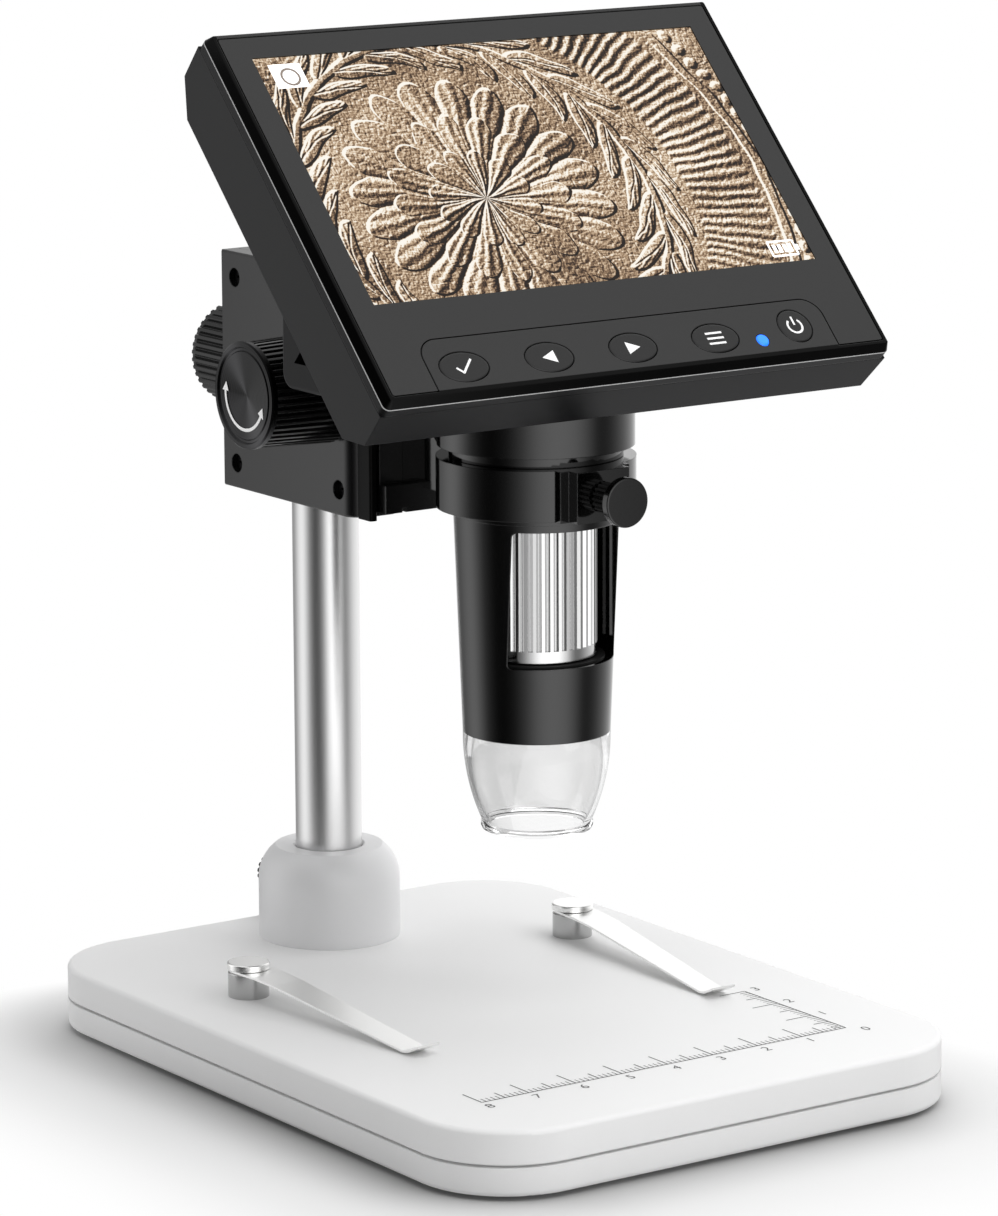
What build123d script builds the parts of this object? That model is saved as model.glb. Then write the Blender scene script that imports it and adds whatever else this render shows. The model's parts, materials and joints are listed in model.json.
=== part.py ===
from build123d import *
import os
from math import acos, asin, cos, pi, radians, sin, tan

# Desk-stand digital microscope with a tilted 4.3 inch display, in millimetres.
# +Z is up, -Y is the user's side, +X is to the user's right.
# Z = 0 is the table; X = Y = 0 is the middle of the base.

# --- base: two moulded shells, ballast and feet -------------------------------------------------
BASE_W, BASE_D, BASE_H = 109.7, 149.4, 11.8
BASE_CORNER = 18.0
FOOT_PROUD = 0.8
BASE_SPLIT = 5.7            # height of the parting line above the underside
SPLIT_GAP = 0.5             # shadow line between the shells
BASE_WALL = 2.2
STAGE_THICK = 2.4
EDGE_ROUND = 0.9            # outer edges of both shells
LIP_HEIGHT = 1.4            # lower shell's lip, lapped inside the upper shell
LIP_THICK = 1.0
FOOT_R, FOOT_POCKET = 6.0, 1.0
FOOT_INSET = 13.5
BASE_SCREW_INSET_X, BASE_SCREW_INSET_Y = 12.0, 34.0
BALLAST_W, BALLAST_D, BALLAST_H = 70.0, 96.0, 3.0
BALLAST_Y = -11.0

# --- column and its holder ----------------------------------------------------------------------
COLUMN_INSET = 19.4         # column axis ahead of the base's back edge
COLUMN_R, COLUMN_WALL = 6.35, 1.4
COLUMN_TOP_BELOW_BLOCK = 1.2
RUNNING = 0.05              # radial clearance of a running fit
HOLDER_R, HOLDER_H = 13.6, 17.7
HOLDER_STRAIGHT = 11.2      # height of the vertical wall below the domed shoulder
HOLDER_FLAT_R = 10.3
SOCKET_WALL = 1.5
HOLDER_SCREW_CIRCLE_R = 10.4
HOLDER_LOCK_UP = 8.3        # lock screw axis above the stage

# --- stage clips --------------------------------------------------------------------------------
CLIP_INSET_X, CLIP_INSET_Y = 18.05, 48.3       # clip posts from the base's side and back edges
POST_R, POST_H = 3.8, 4.7
CLIP_CAP_R, CLIP_CAP_H = 3.95, 1.2
CLIP_JOURNAL_R = 2.0
CLIP_T = 0.4
CLIP_LENGTH = 53.5
CLIP_TOE_IN = 4.2           # degrees from straight ahead towards the middle
CLIP_WIDE, CLIP_NARROW = 7.2, 4.8

# --- focus block on the column ------------------------------------------------------------------
BLOCK_W, BLOCK_D, BLOCK_H = 32.0, 44.5, 44.9
BLOCK_REACH, BLOCK_BOTTOM = 33.9, 100.5         # block's front ahead of the column axis
COVER_T, COVER_ROUND = 3.5, 3.2
COVER_SCREW_INSET = 4.8
COVER_HOLE_R, COVER_HOLE_DEEP = 1.8, 2.5
BUSH_WALL = 1.5
LOCK_UP = 21.5              # lock axis above the block's underside
LOCK_STUD_R = 2.95
DOVE_MOUTH, DOVE_FLOOR, DOVE_DEEP = 14.2, 19.0, 2.9
SLIDE_GAP = 0.12

# --- rack and pinion ----------------------------------------------------------------------------
MODULE = 0.8
PINION_TEETH = 12
PINION_IN, PINION_UP = 7.1, 23.8        # behind the block's front, above its underside
PINION_W = 6.0
SHAFT_R = 2.5
RACK_TEETH = 14
BACKLASH = 0.16

# --- knobs --------------------------------------------------------------------------------------
KNOB_LENGTH = 17.2
KNOB_R_INNER, KNOB_R_OUTER = 10.3, 9.7
KNOB_RIBS = 48
KNOB_GAP = 0.5              # knob to block
KNOB_FACE_R, KNOB_FACE_H = 9.9, 1.2
LOCK_KNOB_R, LOCK_KNOB_LENGTH, LOCK_COLLAR = 9.8, 18.4, 3.0
LOCK_RIBS = 40

# --- carriage and ring arm ----------------------------------------------------------------------
CARRIAGE_W, CARRIAGE_T = 26.0, 4.2
CARRIAGE_UP, CARRIAGE_H = 1.5, 42.2     # above the block's underside at rest, and height
FOOT_PLATE_T, FOOT_PLATE_H = 6.2, 5.2
GIB_W, GIB_T = 1.6, 4.0
ARM_W = 16.0
ARM_BACK_H = 22.0           # arm's back above the carriage's underside
RING_R, RING_H, RING_UP = 18.0, 9.2, 4.8        # ring's underside above the carriage's
BOSS_W, BOSS_OUT = 11.3, 2.5
BOSS_STEP_W = 15.0           # flat pad behind the boss, level with the ring
RING_SCREW_UP = 4.4

# --- thumbscrews --------------------------------------------------------------------------------
THUMB_SHANK_R = 1.95
RING_THUMB_DISC_R, RING_THUMB_DISC_T = 4.45, 1.5
RING_THUMB_NECK_R, RING_THUMB_NECK = 2.8, 5.4
HOLDER_THUMB_R, HOLDER_THUMB_L = 4.0, 5.4

# --- optical head -------------------------------------------------------------------------------
OPTIC_REACH = 69.3          # optical axis ahead of the column axis
NECK_R = 14.95              # barrel where the ring holds it
SHOULDER_R, SHOULDER_H = 15.7, 2.0
BARREL_TOP_R, BARREL_BOTTOM_R = 14.9, 13.4
BARREL_DROP = 41.2          # barrel below the ring
BARREL_BORE_R = 12.4
WINDOW_W, WINDOW_H, WINDOW_DOWN = 23.4, 25.0, 2.5       # opening for the wheel, its top below the ring
WHEEL_R, WHEEL_BORE_R = 11.0, 8.7
WHEEL_BAND = 2.1
WHEEL_FLUTES = 44
END_PLAY = 0.3
GUIDE_WALL = 1.2
CELL_LENGTH = 14.0
LENS_R, LENS_T = 5.4, 3.0
HOOD_H = 18.0               # clear hood below the barrel
HOOD_LIP_R, HOOD_OPEN_R = 10.2, 9.0
HOOD_WALL = 1.1
LED_COUNT = 8
LED_CIRCLE_R = 8.8
COLLAR_R, COLLAR_WALL = 17.8, 2.6

# --- display head -------------------------------------------------------------------------------
SCREEN_LEAN = 44.2          # degrees the display leans back from upright
SCREEN_AHEAD, SCREEN_UP = 1.0, 39.75    # middle of the picture ahead of the optical axis, above the neck
PICTURE_W, PICTURE_H = 95.04, 53.86     # active area of a 4.3 inch display
HEAD_SIDE, HEAD_ABOVE, HEAD_CHIN = 6.78, 6.37, 20.57    # housing beside, above and below the picture
HEAD_DEEP, HEAD_WALL_DEEP = 17.3, 11.8  # whole depth, and depth of the straight wall
HEAD_WALL = 1.5
HEAD_ROUND = 1.2
HEAD_DRAFT = 1.2            # side walls lean in towards the back
BEZEL_T = 3.6               # depth of the front moulding's edge
WEB_T = 2.3                 # thickness of its front web
STRIP_W, STRIP_DROP = 0.8, 1.8          # sloping strip round the front
PANEL_INSET = 1.7
PANEL_T = 1.2
SEAM = 0.25
ISLAND_IN_LEFT, ISLAND_IN_RIGHT, ISLAND_H = 10.8, 11.5, 12.3    # from the housing's edges
ISLAND_ROUND = 4.0
GLASS_BELOW_FACE = 0.1
MODULE_SIDE, MODULE_ABOVE, MODULE_BELOW, MODULE_T = 5.08, 4.27, 8.27, 3.0   # display module round its picture
WEDGE_IN, WEDGE_BEHIND = 14.3, 21.5     # box in from the housing's sides, its back behind the optical axis
NECK_H = 11.05              # box above the barrel
WEDGE_ROUND, WEDGE_EDGE = 3.0, 0.8        # rounding of its lower back corner and of its side edges

# --- buttons ------------------------------------------------------------------------------------
BUTTON_UP = 5.9             # button centres above the housing's lower edge
# places of the oval buttons as shares of the island's width
BUTTON_SHARES = {"button_confirm": 0.08575, "button_left": 0.29143, "button_right": 0.49826,
                 "button_menu": 0.70568}
BUTTON_RU, BUTTON_RV = 4.95, 3.1
POWER_IN, POWER_UP, POWER_R = 7.4, 6.6, 3.5     # from the island's right end, above the lower edge
LED_IN, LED_UP, LED_R = 15.7, 4.4, 1.25
BUTTON_GAP = 0.15
BUTTON_FLANGE, BUTTON_FLANGE_T = 0.7, 0.8
BUTTON_TRAVEL = 0.4
SWITCH = 4.5

# --- boards and battery -------------------------------------------------------------------------
BOARD_IN_LEFT, BOARD_IN_RIGHT = 12.3, 4.9           # from the housing's edges
BOARD_IN_LOW, BOARD_IN_HIGH = 23.5, 6.3
BOARD_T = 1.4
BOARD_POST_IN, BOARD_POST_R = 3.0, 2.2
CHIPS = [(-5.0, -1.0, 14.0, 1.1), (19.0, 7.0, 10.0, 1.0)]     # middle, side and height of each
USB_MID, USB_W, USB_T = 7.8, 7.6, 2.7
CARD_MID, CARD_W, CARD_T = -9.0, 12.0, 1.9
KEY_BOARD_UP, KEY_BOARD_H, KEY_BOARD_T = 2.3, 8.4, 1.2
BATTERY_W, BATTERY_D, BATTERY_H = 52.0, 6.5, 27.0

# --- fasteners ----------------------------------------------------------------------------------
SCREW_R, SCREW_HEAD_R, SCREW_HEAD_H = 1.05, 1.75, 1.3
CASE_SCREW_IN, CASE_SCREW_UP, CASE_POST_R = 6.2, 6.5, 2.6

# --- places that follow from the sizes ----------------------------------------------------------
COLUMN_Y = BASE_D / 2 - COLUMN_INSET
CLIP_X, CLIP_Y = BASE_W / 2 - CLIP_INSET_X, BASE_D / 2 - CLIP_INSET_Y
UNDER_Z = FOOT_PROUD
SPLIT_Z = UNDER_Z + BASE_SPLIT
STAGE_Z = UNDER_Z + BASE_H
CEILING_Z = STAGE_Z - STAGE_THICK
COLUMN_FOOT_Z = UNDER_Z + BASE_WALL + 0.3
BORE_R = COLUMN_R + RUNNING
HOLDER_TOP = STAGE_Z + HOLDER_H
POST_TOP = STAGE_Z + POST_H
BLOCK_FRONT = COLUMN_Y - BLOCK_REACH
BLOCK_BACK = BLOCK_FRONT + BLOCK_D
BLOCK_TOP = BLOCK_BOTTOM + BLOCK_H
COVER_IN = BLOCK_W / 2 - COVER_T
LOCK_Z = BLOCK_BOTTOM + LOCK_UP
PINION_Y, PINION_Z = BLOCK_FRONT + PINION_IN, BLOCK_BOTTOM + PINION_UP
COLUMN_TOP = BLOCK_TOP - COLUMN_TOP_BELOW_BLOCK
PITCH_R = MODULE * PINION_TEETH / 2
PITCH_Y = PINION_Y - PITCH_R
TIP, ROOT = 0.9 * MODULE, 1.15 * MODULE
TONGUE_FRONT = BLOCK_FRONT - 0.2
TONGUE_BACK = BLOCK_FRONT + DOVE_DEEP - SLIDE_GAP
CARRIAGE_FRONT = TONGUE_FRONT - CARRIAGE_T
CARRIAGE_BOTTOM = BLOCK_BOTTOM + CARRIAGE_UP
CARRIAGE_TOP = CARRIAGE_BOTTOM + CARRIAGE_H
RACK_BACK_Y = TONGUE_FRONT - 0.3        # floor of the rack's groove in the tongue
RACK_W = PINION_W
ARM_BACK_TOP = CARRIAGE_BOTTOM + ARM_BACK_H
AXIS_Y = COLUMN_Y - OPTIC_REACH
RING_BOTTOM = CARRIAGE_BOTTOM + RING_UP
RING_TOP = RING_BOTTOM + RING_H
RING_BORE_R = NECK_R + RUNNING
RING_SCREW_Z = RING_BOTTOM + RING_SCREW_UP
BOSS_FACE_Y = AXIS_Y - RING_R - BOSS_OUT
SHOULDER_Z = RING_TOP + 0.05
BARREL_TOP = SHOULDER_Z + SHOULDER_H
BARREL_BOTTOM = RING_BOTTOM - BARREL_DROP
WINDOW_TOP = RING_BOTTOM - WINDOW_DOWN
WINDOW_BOTTOM = WINDOW_TOP - WINDOW_H
WHEEL_BOTTOM, WHEEL_TOP = WINDOW_BOTTOM + 0.6, WINDOW_TOP - 0.5
GUIDE_R = WHEEL_BORE_R - RUNNING
CELL_R = GUIDE_R - GUIDE_WALL - 0.08
CELL_Z = (WHEEL_BOTTOM + WHEEL_TOP) / 2
HOOD_BOTTOM = BARREL_BOTTOM - HOOD_H
LED_BOARD_Z = BARREL_BOTTOM + 1.8
WEDGE_BACK, WEDGE_BOTTOM = AXIS_Y + WEDGE_BEHIND, BARREL_TOP + NECK_H
SCREEN_Y, SCREEN_Z = AXIS_Y - SCREEN_AHEAD, WEDGE_BOTTOM + SCREEN_UP
LEAN = radians(SCREEN_LEAN)
FACE = Plane(origin=(0, SCREEN_Y, SCREEN_Z), x_dir=(1, 0, 0), z_dir=(0, -cos(LEAN), sin(LEAN)))
AT_FACE = FACE.location
HEAD_W, HEAD_H = PICTURE_W + 2 * HEAD_SIDE, PICTURE_H + HEAD_ABOVE + HEAD_CHIN
HEAD_LOW = -PICTURE_H / 2 - HEAD_CHIN
HEAD_HIGH = HEAD_LOW + HEAD_H
HEAD_MID = HEAD_LOW + HEAD_H / 2
BEVEL = HEAD_DEEP - HEAD_WALL_DEEP              # back edges, equal legs
MODULE_FRONT = -WEB_T
WEDGE_W = HEAD_W - 2 * WEDGE_IN
ISLAND_LEFT, ISLAND_RIGHT = ISLAND_IN_LEFT - HEAD_W / 2, HEAD_W / 2 - ISLAND_IN_RIGHT
ISLAND_TOP = HEAD_LOW + ISLAND_H
BUTTON_V = HEAD_LOW + BUTTON_UP
BUTTONS = {name: ISLAND_LEFT + share * (ISLAND_RIGHT - ISLAND_LEFT) for name, share in BUTTON_SHARES.items()}
POWER_U, POWER_V = ISLAND_RIGHT - POWER_IN, HEAD_LOW + POWER_UP
LED_U, LED_V = ISLAND_RIGHT - LED_IN, HEAD_LOW + LED_UP
BOARD_N = MODULE_FRONT - MODULE_T - 2.6         # front of the main board
FLANGE_N = -WEB_T - 0.1                         # front of a button's flange
KEY_BOARD_N = FLANGE_N - BUTTON_FLANGE_T - BUTTON_TRAVEL - 2.4


# --- plain shapes -------------------------------------------------------------------------------
def bar(x0, x1, y0, y1, z0, z1):
    """Box between two corners."""
    return Pos((x0 + x1) / 2, (y0 + y1) / 2, (z0 + z1) / 2) * Box(x1 - x0, y1 - y0, z1 - z0)


def rod_z(r, z0, z1, x=0.0, y=0.0):
    """Round bar along Z."""
    return Pos(x, y, (z0 + z1) / 2) * Cylinder(r, z1 - z0)


def rod_x(r, x0, x1, y, z):
    """Round bar along X."""
    return Pos((x0 + x1) / 2, y, z) * Rot(0, 90, 0) * Cylinder(r, x1 - x0)


def rod_y(r, y0, y1, x, z):
    """Round bar along Y."""
    return Pos(x, (y0 + y1) / 2, z) * Rot(90, 0, 0) * Cylinder(r, y1 - y0)


def tube_z(r_out, r_in, z0, z1, x=0.0, y=0.0):
    """Plain tube along Z."""
    return rod_z(r_out, z0, z1, x, y) - rod_z(r_in, z0 - 1, z1 + 1, x, y)


def slab(w, d, corner, z0, z1):
    """Rectangular plate with rounded corners, centred on the origin."""
    return Pos(0, 0, z0) * extrude(RectangleRounded(w, d, corner), z1 - z0)


def turned(points, y=0.0):
    """Body turned about a vertical axis at X = 0, from (radius, z) points."""
    face = make_face(Plane.XZ * Polyline(*points, close=True))
    return Pos(0, y, 0) * revolve(face, Axis.Z)


def prism_x(points, x0, x1):
    """Profile given as (y, z) points, drawn out along X."""
    face = make_face(Plane.YZ * Polyline(*points, close=True))
    return Pos(x0, 0, 0) * extrude(face, x1 - x0, dir=(1, 0, 0))


def ribbed(r_start, r_end, length, ribs, depth):
    """Bar along +Z with straight ribs, tapering from r_start to r_end."""
    def outline(radius, z):
        step = 2 * pi / ribs
        points = []
        for i in range(ribs):
            for share, r in ((0.0, radius - depth), (0.28, radius), (0.66, radius), (0.94, radius - depth)):
                angle = (i + share) * step
                points.append((r * cos(angle), r * sin(angle), z))
        return make_face(Polyline(*points, close=True))
    return loft([outline(r_start, 0), outline(r_end, length)], ruled=True)


def screw(head_r, head_h, shank_r, length):
    """Cross-recess screw: head above Z = 0, shank below."""
    recess = Box(head_r * 1.1, head_r * 0.28, head_h) + Box(head_r * 0.28, head_r * 1.1, head_h)
    head = rod_z(head_r, 0, head_h) - Pos(0, 0, head_h) * recess
    return head + rod_z(shank_r, -length, 0)


def four(x, y):
    """The four mirrored places of a point."""
    return [(sx * x, sy * y) for sx in (-1, 1) for sy in (-1, 1)]


# --- base ---------------------------------------------------------------------------------------
BASE_SCREWS = four(BASE_W / 2 - BASE_SCREW_INSET_X, BASE_D / 2 - BASE_SCREW_INSET_Y)
FEET = four(BASE_W / 2 - FOOT_INSET, BASE_D / 2 - FOOT_INSET)
HOLDER_SCREWS = [(HOLDER_SCREW_CIRCLE_R * cos(radians(a)), COLUMN_Y + HOLDER_SCREW_CIRCLE_R * sin(radians(a)))
                 for a in (30, 150, 270)]
BASE_SCREW_R, BASE_SCREW_HEAD_R, BASE_SCREW_HEAD_H = 1.45, 2.8, 1.9
BOSS_R = 4.2


def base_bottom_shell():
    wall_top = SPLIT_Z - SPLIT_GAP
    shell = slab(BASE_W, BASE_D, BASE_CORNER, UNDER_Z, wall_top)
    shell = fillet(shell.faces().sort_by(Axis.Z)[0].outer_wire().edges(), EDGE_ROUND)
    inset = BASE_WALL - LIP_THICK
    shell += slab(BASE_W - 2 * inset, BASE_D - 2 * inset, BASE_CORNER - inset, wall_top, SPLIT_Z + LIP_HEIGHT)
    shell -= slab(BASE_W - 2 * BASE_WALL, BASE_D - 2 * BASE_WALL, BASE_CORNER - BASE_WALL,
                  UNDER_Z + BASE_WALL, STAGE_Z)
    for x, y in BASE_SCREWS:
        shell += rod_z(BOSS_R, UNDER_Z + 0.5, SPLIT_Z, x, y)
        shell -= rod_z(BASE_SCREW_R + 0.2, UNDER_Z - 1, STAGE_Z, x, y)
        shell -= rod_z(BASE_SCREW_HEAD_R + 0.3, UNDER_Z - 1, UNDER_Z + BASE_SCREW_HEAD_H + 0.6, x, y)
    for x, y in FEET:
        shell -= rod_z(FOOT_R + 0.1, UNDER_Z - 1, UNDER_Z + FOOT_POCKET, x, y)
    shell += rod_z(BORE_R + SOCKET_WALL, UNDER_Z + 0.5, CEILING_Z - 0.1, 0, COLUMN_Y)
    return shell - rod_z(BORE_R, UNDER_Z + BASE_WALL, STAGE_Z, 0, COLUMN_Y)


def base_top_shell():
    shell = slab(BASE_W, BASE_D, BASE_CORNER, SPLIT_Z, STAGE_Z)
    shell = fillet(shell.faces().sort_by(Axis.Z)[-1].outer_wire().edges(), EDGE_ROUND)
    shell -= slab(BASE_W - 2 * BASE_WALL, BASE_D - 2 * BASE_WALL, BASE_CORNER - BASE_WALL, 0, CEILING_Z)
    inset = BASE_WALL - LIP_THICK - 0.1
    shell -= slab(BASE_W - 2 * inset, BASE_D - 2 * inset, BASE_CORNER - inset, 0, SPLIT_Z + LIP_HEIGHT + 0.1)
    for x, y in BASE_SCREWS:
        shell += rod_z(BOSS_R - 0.6, SPLIT_Z, CEILING_Z, x, y)
        shell -= rod_z(BASE_SCREW_R + RUNNING, 0, CEILING_Z, x, y)
    for x, y in HOLDER_SCREWS:
        shell -= rod_z(SCREW_R + 0.25, 0, STAGE_Z + 1, x, y)
    for side in (-1, 1):
        shell -= rod_z(CLIP_JOURNAL_R + RUNNING, 0, STAGE_Z + 1, side * CLIP_X, CLIP_Y)
    return shell - rod_z(BORE_R + 0.4, 0, STAGE_Z + 1, 0, COLUMN_Y)


def ballast_plate():
    floor = UNDER_Z + BASE_WALL
    return Pos(0, BALLAST_Y, 0) * slab(BALLAST_W, BALLAST_D, 6.0, floor, floor + BALLAST_H)


def rubber_feet():
    foot = rod_z(FOOT_R, 0, FOOT_PROUD + FOOT_POCKET)
    foot = chamfer(foot.edges().sort_by(Axis.Z)[0], 0.3)
    return [Pos(x, y, 0) * foot for x, y in FEET]


def base_screws():
    seat = UNDER_Z + BASE_SCREW_HEAD_H + 0.6
    length = CEILING_Z - 0.5 - seat
    one = Rot(180, 0, 0) * screw(BASE_SCREW_HEAD_R, BASE_SCREW_HEAD_H, BASE_SCREW_R, length)
    return [Pos(x, y, seat) * one for x, y in BASE_SCREWS]


def column_holder():
    arc_start = STAGE_Z + HOLDER_STRAIGHT
    rise, run = HOLDER_TOP - arc_start, HOLDER_R - HOLDER_FLAT_R
    arc_r = (rise * rise + run * run) / (2 * run)       # tangent to the vertical wall
    half = asin(rise / arc_r) / 2
    middle = (HOLDER_R - arc_r + arc_r * cos(half), arc_start + arc_r * sin(half))
    lead_in = 0.5
    wall = Polyline((BORE_R, STAGE_Z), (HOLDER_R, STAGE_Z), (HOLDER_R, arc_start))
    dome = ThreePointArc((HOLDER_R, arc_start), middle, (HOLDER_FLAT_R, HOLDER_TOP))
    mouth = Polyline((HOLDER_FLAT_R, HOLDER_TOP), (BORE_R + lead_in, HOLDER_TOP),
                     (BORE_R, HOLDER_TOP - lead_in), (BORE_R, STAGE_Z))
    holder = Pos(0, COLUMN_Y, 0) * revolve(make_face(Plane.XZ * (wall + dome + mouth)), Axis.Z)
    for x, y in HOLDER_SCREWS:
        holder -= rod_z(SCREW_R + RUNNING, STAGE_Z - 1, STAGE_Z + 7, x, y)
    hole_z = STAGE_Z + HOLDER_LOCK_UP
    return holder - rod_y(THUMB_SHANK_R + RUNNING, COLUMN_Y, COLUMN_Y + HOLDER_R + 1, 0, hole_z)


def holder_screws():
    one = Rot(180, 0, 0) * screw(SCREW_HEAD_R + 0.4, SCREW_HEAD_H, SCREW_R, 6.5 + STAGE_THICK)
    return [Pos(x, y, CEILING_Z) * one for x, y in HOLDER_SCREWS]


def clip_posts():
    post = rod_z(POST_R, STAGE_Z, POST_TOP)
    post = chamfer(post.edges().sort_by(Axis.Z)[-1], 0.25)
    post += rod_z(CLIP_JOURNAL_R, CEILING_Z - 2.2, STAGE_Z)
    post -= rod_z(SCREW_R + RUNNING, POST_TOP - 4, POST_TOP + 1)
    return [Pos(side * CLIP_X, CLIP_Y, 0) * post for side in (-1, 1)]


def clip_post_nuts():
    nut = Pos(0, 0, CEILING_Z - 1.8) * extrude(RegularPolygon(3.4, 6), 1.8)
    nut -= rod_z(CLIP_JOURNAL_R + RUNNING, 0, STAGE_Z)
    return [Pos(side * CLIP_X, CLIP_Y, 0) * nut for side in (-1, 1)]


def clip_caps():
    seat = POST_TOP + CLIP_T + 0.16
    cap = rod_z(CLIP_CAP_R, seat, seat + CLIP_CAP_H)
    cap = fillet(cap.edges().sort_by(Axis.Z)[-1], 0.35)
    cap += rod_z(CLIP_JOURNAL_R, POST_TOP, seat) + rod_z(SCREW_R, POST_TOP - 3.5, POST_TOP)
    return [Pos(side * CLIP_X, CLIP_Y, 0) * cap for side in (-1, 1)]


def stage_clip(side):
    """Spring strip: flat eye on the post, a long slope, and a lifted tip."""
    lift = POST_H + 0.08                                 # underside of the eye above the stage
    rest = 0.35                                          # gap under the contact bend
    flat_end, bend_end, contact = 6.0, 12.0, CLIP_LENGTH - 4.5
    slope = (lift - rest) / (contact - (flat_end + bend_end) / 2)
    top = [(CLIP_T + lift, -POST_R), (CLIP_T + lift, flat_end)]
    top += [(CLIP_T + lift - slope * (bend_end - flat_end) / 2, bend_end)]
    top += [(CLIP_T + rest, contact), (CLIP_T + rest + 0.25, contact + 1.6)]
    top += [(CLIP_T + rest + 1.6, CLIP_LENGTH)]
    under = [(z - CLIP_T, s) for z, s in reversed(top)]
    side_view = prism_x([(-s, STAGE_Z + z) for z, s in top + under], -CLIP_WIDE, CLIP_WIDE)
    corners = [(-CLIP_WIDE / 2, 0), (-CLIP_NARROW / 2, -CLIP_LENGTH), (CLIP_NARROW / 2, -CLIP_LENGTH),
               (CLIP_WIDE / 2, 0)]
    plan = make_face(Polyline(*corners, close=True)) + Circle(CLIP_WIDE / 2)
    strip = side_view & extrude(plan, STAGE_Z + 3 * POST_H)
    strip -= rod_z(CLIP_JOURNAL_R + RUNNING, 0, STAGE_Z + 3 * POST_H)
    return Pos(side * CLIP_X, CLIP_Y, 0) * Rot(0, 0, -side * CLIP_TOE_IN) * strip


# --- thumbscrew in the column holder --------------------------------------------------------------
def holder_thumbscrew():
    axis_z = STAGE_Z + HOLDER_LOCK_UP
    start = COLUMN_Y + HOLDER_R + 0.6
    head = ribbed(HOLDER_THUMB_R, HOLDER_THUMB_R, HOLDER_THUMB_L, 20, 0.35)
    head += rod_z(HOLDER_THUMB_R - 0.6, HOLDER_THUMB_L, HOLDER_THUMB_L + 0.4)
    place = Plane(origin=(0, start, axis_z), z_dir=(0, 1, 0)).location
    return place * head + rod_y(THUMB_SHANK_R, COLUMN_Y + COLUMN_R + 0.1, start, 0, axis_z)


# --- column ---------------------------------------------------------------------------------------
def column_tube():
    tube = rod_z(COLUMN_R, COLUMN_FOOT_Z, COLUMN_TOP, 0, COLUMN_Y)
    tube = chamfer(tube.edges().filter_by(GeomType.CIRCLE), 0.4)
    return tube - rod_z(COLUMN_R - COLUMN_WALL, 0, COLUMN_TOP + 1, 0, COLUMN_Y)


def column_end_plugs():
    bore = COLUMN_R - COLUMN_WALL
    top = rod_z(bore, COLUMN_TOP - 6, COLUMN_TOP, 0, COLUMN_Y)
    foot = tube_z(bore, bore - 2, COLUMN_FOOT_Z, COLUMN_FOOT_Z + 6, 0, COLUMN_Y)
    return [top, foot]


# --- focus block ----------------------------------------------------------------------------------
COVER_SCREWS = [(y, z) for y in (BLOCK_FRONT + COVER_SCREW_INSET, BLOCK_BACK - COVER_SCREW_INSET)
                for z in (BLOCK_BOTTOM + COVER_SCREW_INSET, BLOCK_TOP - COVER_SCREW_INSET)]


def dovetail(mouth, floor, y0, y1, z0, z1):
    """Dovetail bar along Z, wider at y1 than at y0."""
    corners = [(-mouth / 2, y0), (mouth / 2, y0), (floor / 2, y1), (-floor / 2, y1)]
    return Pos(0, 0, z0) * extrude(make_face(Polyline(*corners, close=True)), z1 - z0)


def focus_block():
    block = bar(-COVER_IN, COVER_IN, BLOCK_FRONT, BLOCK_BACK, BLOCK_BOTTOM, BLOCK_TOP)
    block -= rod_z(BORE_R, BLOCK_BOTTOM - 1, BLOCK_TOP + 1, 0, COLUMN_Y)
    front, floor = BLOCK_FRONT, BLOCK_FRONT + DOVE_DEEP
    block -= dovetail(DOVE_MOUTH, DOVE_FLOOR, front, floor, BLOCK_BOTTOM - 1, BLOCK_TOP + 1)
    half = PINION_W / 2 + 0.5
    block -= rod_x(PITCH_R + TIP + 0.5, -half, half, PINION_Y, PINION_Z)
    block -= bar(-half, half, BLOCK_FRONT - 1, PITCH_Y + TIP + 0.4, BLOCK_BOTTOM - 1, BLOCK_TOP + 1)
    block -= rod_x(SHAFT_R + 0.3, -BLOCK_W, BLOCK_W, PINION_Y, PINION_Z)
    block -= rod_y(LOCK_STUD_R + RUNNING, COLUMN_Y, BLOCK_BACK + 1, 0, LOCK_Z)
    for y, z in COVER_SCREWS:
        for side in (-1, 1):
            ends = sorted((side * COVER_IN, side * (COVER_IN - 6)))
            block -= rod_x(SCREW_R + RUNNING, *ends, y, z)
    return block


def side_covers():
    cover = bar(COVER_IN, BLOCK_W / 2, BLOCK_FRONT, BLOCK_BACK, BLOCK_BOTTOM, BLOCK_TOP)
    front = cover.edges().filter_by(Axis.Z).group_by(Axis.Y)[0].sort_by(Axis.X)[-1]
    cover = fillet(front, COVER_ROUND)
    outer = cover.faces().sort_by(Axis.X)[-1].outer_wire().edges()
    cover = chamfer(outer, 0.35)
    for y, z in COVER_SCREWS:
        cover -= rod_x(SCREW_R + RUNNING, 0, BLOCK_W, y, z)
        cover -= rod_x(COVER_HOLE_R, BLOCK_W / 2 - COVER_HOLE_DEEP, BLOCK_W, y, z)
    cover -= rod_x(SHAFT_R + RUNNING + BUSH_WALL, 0, BLOCK_W, PINION_Y, PINION_Z)
    return [cover, mirror(cover, Plane.YZ)]


def cover_screws():
    seat = BLOCK_W / 2 - COVER_HOLE_DEEP
    one = screw(SCREW_HEAD_R - 0.05, SCREW_HEAD_H, SCREW_R, 5.5)
    right = Plane(origin=(seat, 0, 0), z_dir=(1, 0, 0)).location * one
    left = Plane(origin=(-seat, 0, 0), z_dir=(-1, 0, 0)).location * one
    return [Pos(0, y, z) * half for y, z in COVER_SCREWS for half in (left, right)]


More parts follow.
